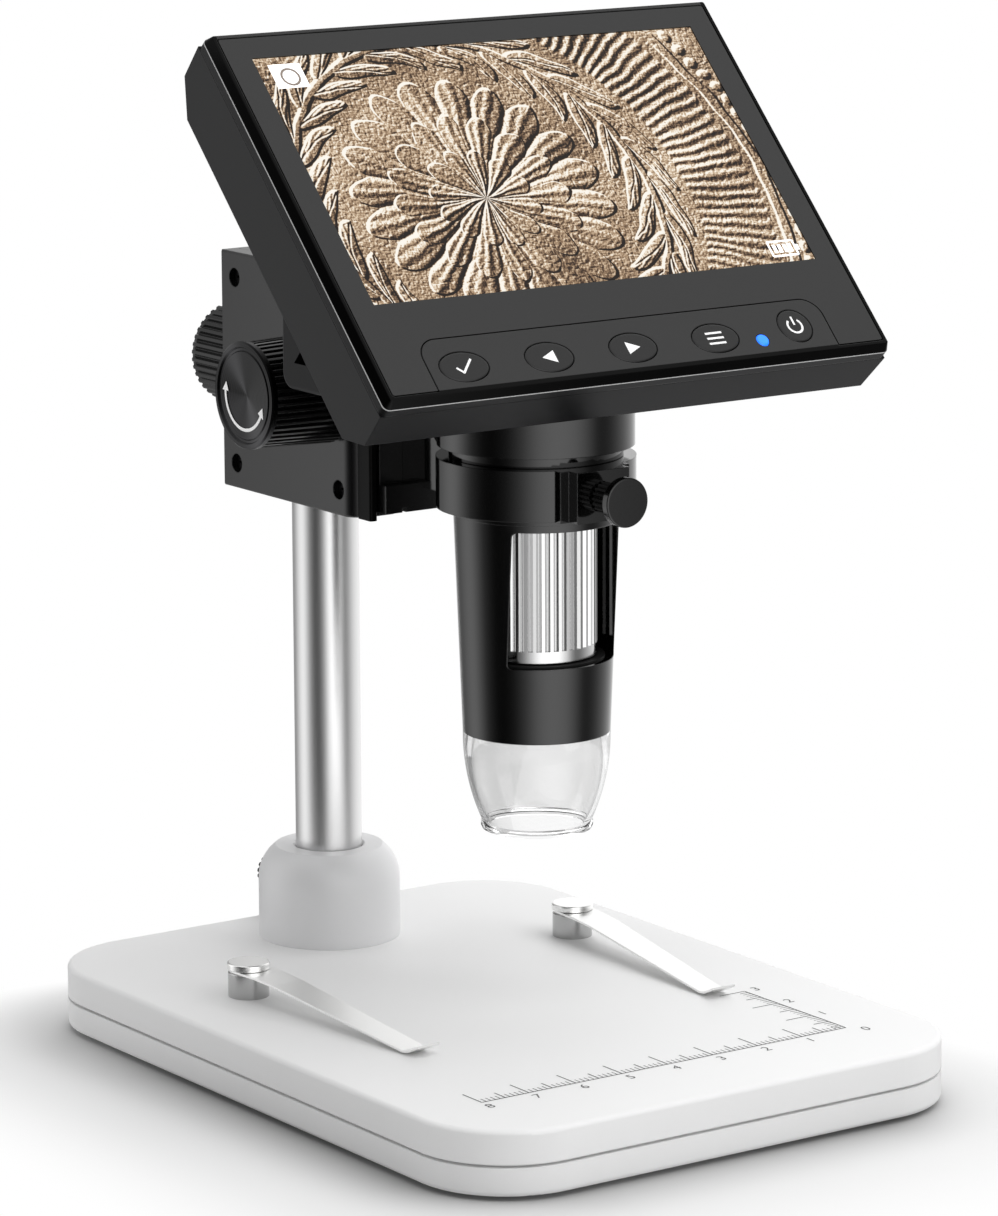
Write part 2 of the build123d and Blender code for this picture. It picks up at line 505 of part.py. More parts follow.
def shaft_bushes():
    ring = Cylinder(SHAFT_R + RUNNING + BUSH_WALL, COVER_T) - Cylinder(SHAFT_R + RUNNING, COVER_T + 1)
    x = COVER_IN + COVER_T / 2
    return [Pos(side * x, PINION_Y, PINION_Z) * Rot(0, 90, 0) * ring for side in (-1, 1)]


def gib_strips():
    x0 = CARRIAGE_W / 2 + 0.2
    strip = bar(x0, x0 + GIB_W, BLOCK_FRONT - GIB_T, BLOCK_FRONT, BLOCK_BOTTOM, BLOCK_TOP)
    strip = fillet(strip.edges().filter_by(Axis.Z).group_by(Axis.Y)[0], 0.5)
    return [strip, mirror(strip, Plane.YZ)]


def lock_pad():
    front = COLUMN_Y + COLUMN_R + 0.1
    return rod_y(LOCK_STUD_R, front, front + 1.3, 0, LOCK_Z)


def lock_stud():
    start = COLUMN_Y + COLUMN_R + 1.5
    return rod_y(LOCK_STUD_R, start, BLOCK_BACK + LOCK_COLLAR + LOCK_KNOB_LENGTH - 4, 0, LOCK_Z)


def lock_knob():
    collar = rod_z(5.6, 0, LOCK_COLLAR)
    body = Pos(0, 0, LOCK_COLLAR) * ribbed(LOCK_KNOB_R, LOCK_KNOB_R, LOCK_KNOB_LENGTH - 0.8, LOCK_RIBS, 0.6)
    end = Pos(0, 0, LOCK_COLLAR + LOCK_KNOB_LENGTH - 0.8) * Cylinder(
        LOCK_KNOB_R - 0.7, 0.8, align=(Align.CENTER, Align.CENTER, Align.MIN))
    knob = collar + body + end
    knob -= rod_z(LOCK_STUD_R + RUNNING, -1, LOCK_COLLAR + LOCK_KNOB_LENGTH - 3.5)
    return Plane(origin=(0, BLOCK_BACK + 0.3, LOCK_Z), z_dir=(0, 1, 0)).location * knob


# --- rack, pinion and focus knobs -------------------------------------------------------------------
PRESSURE = radians(20)


def pinion():
    """Involute pinion drawn about Z, one gap centred on +X."""
    base_r = PITCH_R * cos(PRESSURE)
    tip_r, root_r = PITCH_R + TIP, PITCH_R - ROOT
    half_tooth = (pi * MODULE / 2 - BACKLASH) / 2 / PITCH_R
    roll = tan(PRESSURE) - PRESSURE

    def half_angle(r):
        a = acos(min(1.0, base_r / r))
        return half_tooth + roll - (tan(a) - a)

    def at(r, angle):
        return (r * cos(angle), r * sin(angle))

    radii = (base_r, (base_r + PITCH_R) / 2, PITCH_R, (PITCH_R + tip_r) / 2, tip_r)
    step = 2 * pi / PINION_TEETH
    points = []
    for tooth in range(PINION_TEETH):
        middle = (tooth + 0.5) * step
        points.append(at(root_r, middle - half_angle(base_r)))
        points += [at(r, middle - half_angle(r)) for r in radii]
        points += [at(r, middle + half_angle(r)) for r in reversed(radii)]
        points.append(at(root_r, middle + half_angle(base_r)))
    return extrude(make_face(Polyline(*points, close=True)), PINION_W)


def pinion_shaft():
    """Steel shaft with the pinion cut on it, a gap facing the rack."""
    end = Plane(origin=(-PINION_W / 2, PINION_Y, PINION_Z), x_dir=(0, -1, 0), z_dir=(1, 0, 0))
    teeth = end.location * pinion()
    reach = BLOCK_W / 2 + KNOB_GAP + KNOB_LENGTH - 3
    return teeth + rod_x(SHAFT_R, -reach, reach, PINION_Y, PINION_Z)


def rack():
    """Rack with straight 20 degree flanks, a tooth centred on the pinion's height."""
    pitch = pi * MODULE
    half = (pitch / 2 - BACKLASH) / 2
    tip_half, root_half = half - TIP * tan(PRESSURE), half + ROOT * tan(PRESSURE)
    points = []
    for i in range(RACK_TEETH):
        z = PINION_Z + (i - (RACK_TEETH - 1) / 2 + 0.5) * pitch
        points += [(PITCH_Y - ROOT, z - root_half), (PITCH_Y + TIP, z - tip_half)]
        points += [(PITCH_Y + TIP, z + tip_half), (PITCH_Y - ROOT, z + root_half)]
    low, high = points[0][1] - 0.6, points[-1][1] + 0.6
    root = PITCH_Y - ROOT
    outline = [(RACK_BACK_Y, low), (root, low)] + points + [(root, high), (RACK_BACK_Y, high)]
    return prism_x(outline, -RACK_W / 2, RACK_W / 2)


def side_plane(side, gap=0.0):
    """Frame at the block's side, Z pointing outwards along the focus shaft."""
    x = side * (BLOCK_W / 2 + gap)
    return Plane(origin=(x, PINION_Y, PINION_Z), x_dir=(0, -1, 0), z_dir=(side, 0, 0)).location


def focus_knobs():
    hub = rod_z(7.0, 0, 1.0)
    body = Pos(0, 0, 1.0) * ribbed(KNOB_R_INNER, KNOB_R_OUTER, KNOB_LENGTH - 1.0, KNOB_RIBS, 0.5)
    knob = hub + body - rod_z(SHAFT_R + RUNNING, -1, KNOB_LENGTH - 2.8)
    return [side_plane(side, KNOB_GAP) * knob for side in (-1, 1)]


def knob_faces():
    """Spun metal caps with a raised rim, a fine groove and a shallow dish."""
    rim = KNOB_FACE_R - 1.0
    points = [(0, 0), (KNOB_FACE_R, 0), (KNOB_FACE_R, KNOB_FACE_H - 0.3), (KNOB_FACE_R - 0.3, KNOB_FACE_H),
              (rim, KNOB_FACE_H), (rim - 0.25, KNOB_FACE_H - 0.35), (rim - 0.7, KNOB_FACE_H - 0.35),
              (rim - 0.9, KNOB_FACE_H - 0.15), (0, KNOB_FACE_H - 0.75)]
    return [side_plane(side, KNOB_GAP + KNOB_LENGTH) * turned(points) for side in (-1, 1)]


# --- carriage and ring arm ----------------------------------------------------------------------------
ARM_SCREWS = [(side * 5.3, z) for side in (-1, 1) for z in (RING_BOTTOM + 4.2, RING_BOTTOM + 13.0)]


def carriage_plate():
    half = CARRIAGE_W / 2
    plate = bar(-half, half, CARRIAGE_FRONT, TONGUE_FRONT, CARRIAGE_BOTTOM, CARRIAGE_TOP)
    plate += bar(-half, half, TONGUE_FRONT - FOOT_PLATE_T, CARRIAGE_FRONT, CARRIAGE_BOTTOM,
                 CARRIAGE_BOTTOM + FOOT_PLATE_H)
    grow = DOVE_FLOOR - DOVE_MOUTH
    share = (TONGUE_BACK - TONGUE_FRONT) / DOVE_DEEP
    mouth = DOVE_MOUTH - 4 * SLIDE_GAP - grow * (BLOCK_FRONT - TONGUE_FRONT) / DOVE_DEEP
    plate += dovetail(mouth, mouth + grow * share, TONGUE_FRONT, TONGUE_BACK, CARRIAGE_BOTTOM, CARRIAGE_TOP)
    plate -= bar(-RACK_W / 2, RACK_W / 2, RACK_BACK_Y, TONGUE_BACK + 1, CARRIAGE_BOTTOM - 1, CARRIAGE_TOP + 1)
    for side in (-1, 1):
        mark = side * 9
        plate -= bar(mark - 0.4, mark + 0.4, 0, TONGUE_FRONT - 1, CARRIAGE_BOTTOM - 1, CARRIAGE_BOTTOM + 0.8)
    for x, z in ARM_SCREWS:
        plate -= rod_y(SCREW_R + 0.2, CARRIAGE_FRONT - 1, TONGUE_BACK + 1, x, z)
        plate -= rod_y(SCREW_HEAD_R + 0.15, TONGUE_BACK - SCREW_HEAD_H - 0.2, TONGUE_BACK + 1, x, z)
    return plate


def ring_arm():
    half = ARM_W / 2
    low = CARRIAGE_BOTTOM + FOOT_PLATE_H
    near = AXIS_Y + RING_R + 1.6                 # clear of the turning collar above the ring
    profile = [(CARRIAGE_FRONT, low), (CARRIAGE_FRONT, ARM_BACK_TOP), (CARRIAGE_FRONT - 3, ARM_BACK_TOP),
               (near, RING_TOP), (AXIS_Y, RING_TOP), (AXIS_Y, low)]
    arm = prism_x(profile, -half, half)
    arm = fillet(arm.edges().filter_by(Axis.X).group_by(Axis.Z)[-1], 1.2)
    arm += rod_z(RING_R, RING_BOTTOM, RING_TOP, 0, AXIS_Y)
    inner = AXIS_Y - RING_R + 2
    arm += bar(-BOSS_STEP_W / 2, BOSS_STEP_W / 2, AXIS_Y - RING_R, inner, RING_BOTTOM, RING_TOP)
    arm += bar(-BOSS_W / 2, BOSS_W / 2, BOSS_FACE_Y, inner, RING_BOTTOM, RING_TOP)
    arm -= rod_z(RING_BORE_R, RING_BOTTOM - 5, RING_TOP + 5, 0, AXIS_Y)
    arm -= rod_y(THUMB_SHANK_R + RUNNING, BOSS_FACE_Y - 1, AXIS_Y, 0, RING_SCREW_Z)
    for x, z in ARM_SCREWS:
        arm -= rod_y(SCREW_R + RUNNING, CARRIAGE_FRONT - 7, CARRIAGE_FRONT, x, z)
    return arm


def arm_screws():
    seat = TONGUE_BACK - SCREW_HEAD_H - 0.2
    one = screw(SCREW_HEAD_R, SCREW_HEAD_H, SCREW_R, seat - CARRIAGE_FRONT + 6)
    return [Plane(origin=(x, seat, z), z_dir=(0, 1, 0)).location * one for x, z in ARM_SCREWS]


def ring_screw():
    """Steel shank that presses on the barrel."""
    return rod_y(THUMB_SHANK_R, BOSS_FACE_Y - RING_THUMB_NECK, AXIS_Y - NECK_R - 0.1, 0, RING_SCREW_Z)


def ring_screw_knob():
    start = BOSS_FACE_Y - 0.4
    neck = ribbed(RING_THUMB_NECK_R, RING_THUMB_NECK_R, RING_THUMB_NECK, 18, 0.35)
    disc = rod_z(RING_THUMB_DISC_R, 0, RING_THUMB_DISC_T)
    disc = fillet(disc.edges().sort_by(Axis.Z)[-1], 0.3)
    knob = neck + Pos(0, 0, RING_THUMB_NECK) * disc
    knob -= rod_z(THUMB_SHANK_R + RUNNING, -1, RING_THUMB_NECK - 0.3)
    return Plane(origin=(0, start, RING_SCREW_Z), z_dir=(0, -1, 0)).location * knob


# --- optical head ---------------------------------------------------------------------------------------
def barrel():
    body = turned([(0, BARREL_BOTTOM), (BARREL_BOTTOM_R, BARREL_BOTTOM), (BARREL_TOP_R, RING_BOTTOM - 1.2),
                   (NECK_R, RING_BOTTOM - 1.2), (NECK_R, SHOULDER_Z), (SHOULDER_R, SHOULDER_Z),
                   (SHOULDER_R, BARREL_TOP), (0, BARREL_TOP)], AXIS_Y)
    ledge = BARREL_TOP - 4                       # the sensor board is stuck on it
    body -= rod_z(BARREL_BORE_R, BARREL_BOTTOM - 1, ledge - 2.4, 0, AXIS_Y)
    body -= rod_z(BARREL_BORE_R - 2.2, BARREL_BOTTOM - 1, BARREL_TOP + 1, 0, AXIS_Y)
    body -= rod_z(BARREL_BORE_R, ledge, BARREL_TOP + 1, 0, AXIS_Y)
    half = WINDOW_W / 2
    window = bar(-half, half, AXIS_Y - 30, AXIS_Y, WINDOW_BOTTOM, WINDOW_TOP)
    window = fillet(window.edges().filter_by(Axis.Y), 0.8)
    body -= window
    return body


def guide_tube():
    """Fixed tube that carries the focus wheel, with a flange above and below it."""
    inner = GUIDE_R - GUIDE_WALL
    flange = BARREL_BORE_R - RUNNING
    low, high = WHEEL_BOTTOM - END_PLAY, WHEEL_TOP + END_PLAY
    return turned([(inner, low - 2), (flange, low - 2), (flange, low), (GUIDE_R, low), (GUIDE_R, high),
                   (flange, high), (flange, high + 1.5), (inner, high + 1.5)], AXIS_Y)


def focus_wheel():
    flutes = Pos(0, AXIS_Y, WHEEL_BOTTOM + WHEEL_BAND) * ribbed(
        WHEEL_R, WHEEL_R, WHEEL_TOP - WHEEL_BOTTOM - WHEEL_BAND, WHEEL_FLUTES, 0.45)
    band = rod_z(WHEEL_R, WHEEL_BOTTOM, WHEEL_BOTTOM + WHEEL_BAND, 0, AXIS_Y)
    return flutes + band - rod_z(WHEEL_BORE_R, 0, WHEEL_TOP + 1, 0, AXIS_Y)


def lens_cell():
    low, high = CELL_Z - CELL_LENGTH / 2, CELL_Z + CELL_LENGTH / 2
    cell = rod_z(CELL_R, low, high, 0, AXIS_Y) - rod_z(LENS_R - 0.8, low - 1, high + 1, 0, AXIS_Y)
    return cell - rod_z(LENS_R, low - 1, low + LENS_T + 0.6, 0, AXIS_Y)


def objective_lens():
    low = CELL_Z - CELL_LENGTH / 2 + 0.6
    bulge = 0.6
    edge_r = LENS_R - RUNNING
    dome_r = (edge_r * edge_r + bulge * bulge) / (2 * bulge)
    disc = rod_z(edge_r, low, low + LENS_T, 0, AXIS_Y)
    return disc & Pos(0, AXIS_Y, low + dome_r) * Sphere(dome_r)


def led_board():
    return tube_z(BARREL_BORE_R - RUNNING, 6.0, LED_BOARD_Z, LED_BOARD_Z + 1.2, 0, AXIS_Y)


def ring_leds():
    led = bar(-1.2, 1.2, -1.0, 1.0, LED_BOARD_Z - 1.0, LED_BOARD_Z)
    step = 360 / LED_COUNT
    return [Pos(0, AXIS_Y, 0) * Rot(0, 0, i * step) * Pos(LED_CIRCLE_R, 0, 0) * led for i in range(LED_COUNT)]


def clear_hood():
    """Clear moulded hood: curved skirt, double lip, and a spigot up into the barrel."""
    top = BARREL_BOTTOM
    lip = HOOD_BOTTOM + 1.4
    spigot = BARREL_BORE_R - RUNNING
    out_mid = (BARREL_BOTTOM_R - 0.75, (top + lip) / 2)
    in_mid = (out_mid[0] - HOOD_WALL, out_mid[1])
    outer = ThreePointArc((BARREL_BOTTOM_R, top), out_mid, (HOOD_LIP_R - 0.2, lip))
    inner = ThreePointArc((HOOD_OPEN_R, lip), in_mid, (spigot - HOOD_WALL, top))
    foot = Polyline((HOOD_LIP_R - 0.2, lip), (HOOD_LIP_R, lip - 0.3), (HOOD_LIP_R - 0.25, lip - 0.6),
                    (HOOD_LIP_R, lip - 0.9), (HOOD_LIP_R - 0.2, HOOD_BOTTOM), (HOOD_OPEN_R, HOOD_BOTTOM),
                    (HOOD_OPEN_R, lip))
    head = Polyline((spigot - HOOD_WALL, top), (spigot - HOOD_WALL, top + 1.5), (spigot, top + 1.5),
                    (spigot, top), (BARREL_BOTTOM_R, top))
    face = make_face(Plane.XZ * (outer + foot + inner + head))
    return Pos(0, AXIS_Y, 0) * revolve(face, Axis.Z)


def sensor_board():
    board = rod_z(BARREL_BORE_R - 0.2, BARREL_TOP - 4, BARREL_TOP - 2.8, 0, AXIS_Y)
    return board + bar(-3.6, 3.6, AXIS_Y - 3.6, AXIS_Y + 3.6, BARREL_TOP - 5.2, BARREL_TOP - 4)


# --- display head ---------------------------------------------------------------------------------------
def face_bar(u0, u1, v0, v1, n0, n1):
    """Box in the display's own frame: u right, v up the face, n out of it."""
    return AT_FACE * bar(u0, u1, v0, v1, n0, n1)


def face_rod(r, n0, n1, u, v):
    """Round bar square to the display face."""
    return AT_FACE * rod_z(r, n0, n1, u, v)


def head_outline(shrink):
    """Rectangle of the display housing, smaller by shrink all round."""
    corner = max(0.3, HEAD_ROUND - shrink)
    return Pos(0, HEAD_MID) * RectangleRounded(HEAD_W - 2 * shrink, HEAD_H - 2 * shrink, corner)


def panel_outline(grow):
    """Overlay with the control island left out, larger by grow all round."""
    shrink = PANEL_INSET - grow
    sheet = Pos(0, HEAD_MID) * RectangleRounded(HEAD_W - 2 * shrink, HEAD_H - 2 * shrink, 0.4 + grow)
    low = HEAD_LOW - 5
    left, right, top = ISLAND_LEFT + grow, ISLAND_RIGHT - grow, ISLAND_TOP - grow
    island = Pos((left + right) / 2, (low + top) / 2) * Rectangle(right - left, top - low)
    island = fillet(island.vertices().group_by(Axis.Y)[-1], ISLAND_ROUND - grow)
    return sheet - island


def window(grow, n0, n1):
    """Block the size of the picture, larger by grow all round."""
    u, v = PICTURE_W / 2 + grow, PICTURE_H / 2 + grow
    return bar(-u, u, -v, v, n0, n1)


def button_outline(name, grow=0.0):
    if name == "button_power":
        return Pos(POWER_U, POWER_V) * Circle(POWER_R + grow)
    return Pos(BUTTONS[name], BUTTON_V) * Ellipse(BUTTON_RU + grow, BUTTON_RV + grow)


ALL_BUTTONS = list(BUTTONS) + ["button_power"]
CASE_SCREWS = [(side * (HEAD_W / 2 - CASE_SCREW_IN), HEAD_LOW + CASE_SCREW_UP) for side in (-1, 1)]


def front_bezel():
    """Front moulding: flat face, steep strip round it, and a plain edge band behind that."""
    strip = loft([Pos(0, 0, -STRIP_DROP) * head_outline(0), head_outline(STRIP_W)])
    band = Pos(0, 0, -BEZEL_T) * extrude(head_outline(0), BEZEL_T - STRIP_DROP)
    bezel = strip + band
    bezel -= Pos(0, 0, -BEZEL_T - 1) * extrude(head_outline(HEAD_WALL), BEZEL_T + 1 - WEB_T)
    bezel -= Pos(0, 0, -PANEL_T) * extrude(panel_outline(SEAM), PANEL_T + 1)
    bezel -= window(1.0, -BEZEL_T, 1)
    for name in ALL_BUTTONS:
        bezel -= Pos(0, 0, -BEZEL_T) * extrude(button_outline(name, BUTTON_GAP), BEZEL_T + 1)
    bezel -= rod_z(LED_R + 0.08, -BEZEL_T, 1, LED_U, LED_V)
    for u, v in CASE_SCREWS:
        bezel += rod_z(CASE_POST_R, -BEZEL_T, -WEB_T, u, v)
        bezel -= rod_z(SCREW_R + RUNNING, -BEZEL_T - 1, -1.5, u, v)
    return AT_FACE * bezel


def front_panel():
    panel = Pos(0, 0, -PANEL_T) * extrude(panel_outline(0), PANEL_T)
    return AT_FACE * (panel - window(0.15, -3, 1))


def display_glass():
    return AT_FACE * window(0, MODULE_FRONT, -GLASS_BELOW_FACE)


def display_module():
    half, high = PICTURE_W / 2 + MODULE_SIDE, PICTURE_H / 2 + MODULE_ABOVE
    low = -PICTURE_H / 2 - MODULE_BELOW
    return face_bar(-half, half, low, high, MODULE_FRONT - MODULE_T, MODULE_FRONT)


def head_section(wall, front):
    """Housing behind the bezel as (v, n) points, back edges bevelled, a wall thickness inside the outside."""
    bend = wall * tan(radians(22.5))
    high, low, back = HEAD_HIGH - wall, HEAD_LOW + wall, -HEAD_DEEP + wall
    return [(high, front), (high, -HEAD_WALL_DEEP + bend), (HEAD_HIGH - BEVEL - bend, back),
            (HEAD_LOW + BEVEL + bend, back), (low, -HEAD_WALL_DEEP + bend), (low, front)]


def head_body(wall, front):
    """Solid of the housing behind the bezel, its sides leaning in towards the back."""
    body = prism_x(head_section(wall, front), -HEAD_W, HEAD_W)
    near, far = HEAD_W / 2 - wall, HEAD_W / 2 - wall - HEAD_DRAFT
    left = [(-near, 1), (-near, -BEZEL_T), (-far, -HEAD_DEEP)]
    sides = left + [(far, -HEAD_DEEP), (near, -BEZEL_T), (near, 1)]
    plan = make_face(Plane.XZ * Polyline(*sides, close=True))
    body &= Pos(0, 2 * HEAD_H, 0) * extrude(plan, 4 * HEAD_H, dir=(0, -1, 0))
    return AT_FACE * body


def back_plane_y(z, inside):
    """Y of the plane lying the given depth inside the housing's back, at height z."""
    n = -HEAD_DEEP + inside
    v = (z - SCREEN_Z - n * sin(LEAN)) / cos(LEAN)
    return SCREEN_Y + v * sin(LEAN) - n * cos(LEAN)


def back_plane_z(y, inside):
    """Height of the same plane at a given Y."""
    n = -HEAD_DEEP + inside
    v = (y - SCREEN_Y + n * cos(LEAN)) / sin(LEAN)
    return SCREEN_Z + v * cos(LEAN) + n * sin(LEAN)


def wedge(wall, sink):
    """Electronics box behind the display: upright back, level floor, sunk into the sloping housing."""
    back, floor = WEDGE_BACK - wall, WEDGE_BOTTOM + wall
    points = [(back, floor), (back, back_plane_z(back, sink)), (back_plane_y(floor, sink), floor)]
    half = WEDGE_W / 2 - wall
    return prism_x(points, -half, half)


def on_slope(point):
    """Whether a point lies on the plane where the box is sunk into the housing."""
    return abs(point.Z - back_plane_z(point.Y, 1.0)) < 0.05


def wedge_outside():
    box = wedge(0, 1.0)
    corner = box.edges().filter_by(Axis.X).filter_by(lambda e: abs(e.center().Y - WEDGE_BACK) < 0.01)
    box = fillet(corner.sort_by(Axis.Z)[0], WEDGE_ROUND)
    outer = [e for e in box.edges() if abs(abs(e.center().X) - WEDGE_W / 2) < 0.01]
    return fillet([e for e in outer if not on_slope(e.center())], WEDGE_EDGE)


def rear_housing():
    """Moulded back of the display head with the wedge-shaped electronics box on it."""
    housing = head_body(0, -BEZEL_T) + wedge_outside()
    housing -= head_body(HEAD_WALL, 0)
    housing -= wedge(HEAD_WALL, HEAD_WALL + 1.5)
    housing -= rod_z(COLLAR_R - COLLAR_WALL - 3, WEDGE_BOTTOM - 1, WEDGE_BOTTOM + HEAD_WALL + 1, 0, AXIS_Y)
    posts = [(u, v, CASE_POST_R, -BEZEL_T) for u, v in CASE_SCREWS]
    posts += [(u, v, BOARD_POST_R, BOARD_N - BOARD_T) for u, v in BOARD_POSTS]
    for u, v, r, top in posts:
        housing += face_rod(r, -HEAD_DEEP + 0.5, top, u, v)
    for u, v in CASE_SCREWS:
        housing -= face_rod(SCREW_R + 0.2, -HEAD_DEEP - 1, 0, u, v)
        housing -= face_rod(SCREW_HEAD_R + 0.2, -HEAD_DEEP - 1, -HEAD_DEEP + SCREW_HEAD_H + 0.5, u, v)
    side = HEAD_W / 2
    housing -= face_bar(side - 3.5, side + 1, USB_V[0], USB_V[1], USB_N[0] - 0.1, USB_N[1] + 0.1)
    low, high = CARD_V[0] + 0.4, CARD_V[1] - 0.4
    housing -= face_bar(side - 3.5, side + 1, low, high, CARD_N[0] + 0.2, CARD_N[1] - 0.2)
    return housing


BOARD_U = (BOARD_IN_LEFT - HEAD_W / 2, HEAD_W / 2 - BOARD_IN_RIGHT)
BOARD_V = (HEAD_LOW + BOARD_IN_LOW, HEAD_HIGH - BOARD_IN_HIGH)
BOARD_POSTS = [(u, v) for u in (BOARD_U[0] + BOARD_POST_IN, BOARD_U[1] - 2 * BOARD_POST_IN)
               for v in (BOARD_V[0] + BOARD_POST_IN, BOARD_V[1] - BOARD_POST_IN)]
USB_V, USB_N = (USB_MID - USB_W / 2, USB_MID + USB_W / 2), (BOARD_N - BOARD_T - USB_T, BOARD_N - BOARD_T)
CARD_V = (CARD_MID - CARD_W / 2, CARD_MID + CARD_W / 2)
CARD_N = (BOARD_N - BOARD_T - CARD_T, BOARD_N - BOARD_T)
PORT_END = HEAD_W / 2 - HEAD_WALL - HEAD_DRAFT


def neck_collar():
    """Collar that joins the barrel to the housing, its front edge trimmed to the sloping back."""
    collar = tube_z(COLLAR_R, COLLAR_R - COLLAR_WALL, BARREL_TOP, WEDGE_BOTTOM, 0, AXIS_Y)
    return collar - head_body(0, -BEZEL_T)


def main_board():
    board = face_bar(*BOARD_U, *BOARD_V, BOARD_N - BOARD_T, BOARD_N)
    for u, v, side, high in CHIPS:
        board += face_bar(u - side / 2, u + side / 2, v - side / 2, v + side / 2, BOARD_N, BOARD_N + high)
    return board


def usb_socket():
    shell = face_bar(PORT_END - 5.2, PORT_END + 0.4, USB_V[0] + 0.1, USB_V[1] - 0.1, *USB_N)
    (low, high), (back, front) = USB_V, USB_N
    mouth = face_bar(PORT_END - 4.6, PORT_END + 1, low + 0.5, high - 0.5, back + 0.4, front - 0.5)
    tongue = face_bar(PORT_END - 5, PORT_END - 0.6, low + 2, high - 2, back + 1.1, back + 1.5)
    return shell - mouth + tongue


def card_socket():
    shell = face_bar(PORT_END - 13, PORT_END - 0.3, *CARD_V, *CARD_N)
    (low, high), (back, front) = CARD_V, CARD_N
    mouth = face_bar(PORT_END - 11.5, PORT_END, low + 0.5, high - 0.5, back + 0.3, front - 0.6)
    return shell - mouth


def battery():
    floor = WEDGE_BOTTOM + HEAD_WALL
    back = WEDGE_BACK - HEAD_WALL - 0.1
    cell = bar(-BATTERY_W / 2, BATTERY_W / 2, back - BATTERY_D, back, floor, floor + BATTERY_H)
    return fillet(cell.edges().filter_by(Axis.X), 1.2)


def key_board():
    """Board under the buttons, carried by the case-screw posts."""
    half = CASE_SCREWS[1][0] - CASE_POST_R - 0.1
    low = HEAD_LOW + KEY_BOARD_UP
    return face_bar(-half, half, low, low + KEY_BOARD_H, KEY_BOARD_N - KEY_BOARD_T, KEY_BOARD_N)


def key_switches():
    half = SWITCH / 2
    can = bar(-half, half, -half, half, KEY_BOARD_N, KEY_BOARD_N + 1.9)
    can += rod_z(1.2, KEY_BOARD_N, KEY_BOARD_N + 2.2)
    spots = [(u, BUTTON_V) for u in BUTTONS.values()] + [(POWER_U, POWER_V)]
    return [AT_FACE * Pos(u, v, 0) * can for u, v in spots]


def button(name):
    """Key cap level with the face, with a flange that stops it behind the web."""
    cap = Pos(0, 0, FLANGE_N) * extrude(button_outline(name), 0.05 - FLANGE_N)
    cap = fillet(cap.faces().sort_by(Axis.Z)[-1].outer_wire().edges(), 0.25)
    rim = button_outline(name, BUTTON_FLANGE)
    flange = Pos(0, 0, FLANGE_N - BUTTON_FLANGE_T) * extrude(rim, BUTTON_FLANGE_T)
    return AT_FACE * (cap + flange)


def status_led():
    """Light pipe standing on the key board, its rounded end just proud of the face."""
    pipe = rod_z(LED_R, KEY_BOARD_N, 0.25, LED_U, LED_V)
    pipe = fillet(pipe.edges().sort_by(Axis.Z)[-1], 0.5)
    return AT_FACE * pipe


def case_screws():
    seat = -HEAD_DEEP + SCREW_HEAD_H + 0.5
    one = Rot(180, 0, 0) * screw(SCREW_HEAD_R, SCREW_HEAD_H, SCREW_R, -seat - 1.6)
    return [AT_FACE * Pos(u, v, seat) * one for u, v in CASE_SCREWS]


# --- the whole set ----------------------------------------------------------------------------------------
def all_parts():
    parts = {
        "base_bottom_shell": base_bottom_shell(), "base_top_shell": base_top_shell(),
        "ballast_plate": ballast_plate(), "rubber_feet": rubber_feet(), "base_screws": base_screws(),
        "column_holder": column_holder(), "holder_screws": holder_screws(),
        "clip_posts": clip_posts(), "clip_post_nuts": clip_post_nuts(), "clip_caps": clip_caps(),
        "stage_clip_left": stage_clip(-1), "stage_clip_right": stage_clip(1),
        "holder_thumbscrew": holder_thumbscrew(),
        "column_tube": column_tube(), "column_end_plugs": column_end_plugs(),
        "focus_block": focus_block(), "side_covers": side_covers(),
        "cover_screws": cover_screws(), "shaft_bushes": shaft_bushes(),
        "gib_strips": gib_strips(), "lock_pad": lock_pad(), "lock_stud": lock_stud(),
        "lock_knob": lock_knob(),
        "pinion_shaft": pinion_shaft(), "rack": rack(),
        "focus_knobs": focus_knobs(), "knob_faces": knob_faces(),
        "carriage_plate": carriage_plate(), "ring_arm": ring_arm(), "arm_screws": arm_screws(),
        "ring_screw": ring_screw(), "ring_screw_knob": ring_screw_knob(),
        "barrel": barrel(), "guide_tube": guide_tube(), "focus_wheel": focus_wheel(),
        "lens_cell": lens_cell(), "objective_lens": objective_lens(),
        "led_board": led_board(), "ring_leds": ring_leds(), "clear_hood": clear_hood(),
        "sensor_board": sensor_board(), "neck_collar": neck_collar(),
        "front_bezel": front_bezel(), "front_panel": front_panel(),
        "display_glass": display_glass(), "display_module": display_module(),
        "rear_housing": rear_housing(), "main_board": main_board(), "battery": battery(),
        "usb_socket": usb_socket(), "card_socket": card_socket(),
        "key_board": key_board(), "key_switches": key_switches(), "status_led": status_led(),
        "case_screws": case_screws(),
    }
    parts.update({name: button(name) for name in ALL_BUTTONS})
    return parts


def main():
    os.makedirs("parts", exist_ok=True)
    for name, shape in all_parts().items():
        if isinstance(shape, list):
            shape = Compound(children=shape)
        export_step(shape, os.path.join("parts", name + ".step"))


main()
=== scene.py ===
"""Finishes, printed marks, light and camera for a desk-stand microscope with a tilted display."""

from __future__ import annotations

import json
import logging
import math
from collections.abc import Callable
from dataclasses import dataclass, field
from enum import Enum

import bmesh
import bpy
from mathutils import Matrix, Vector

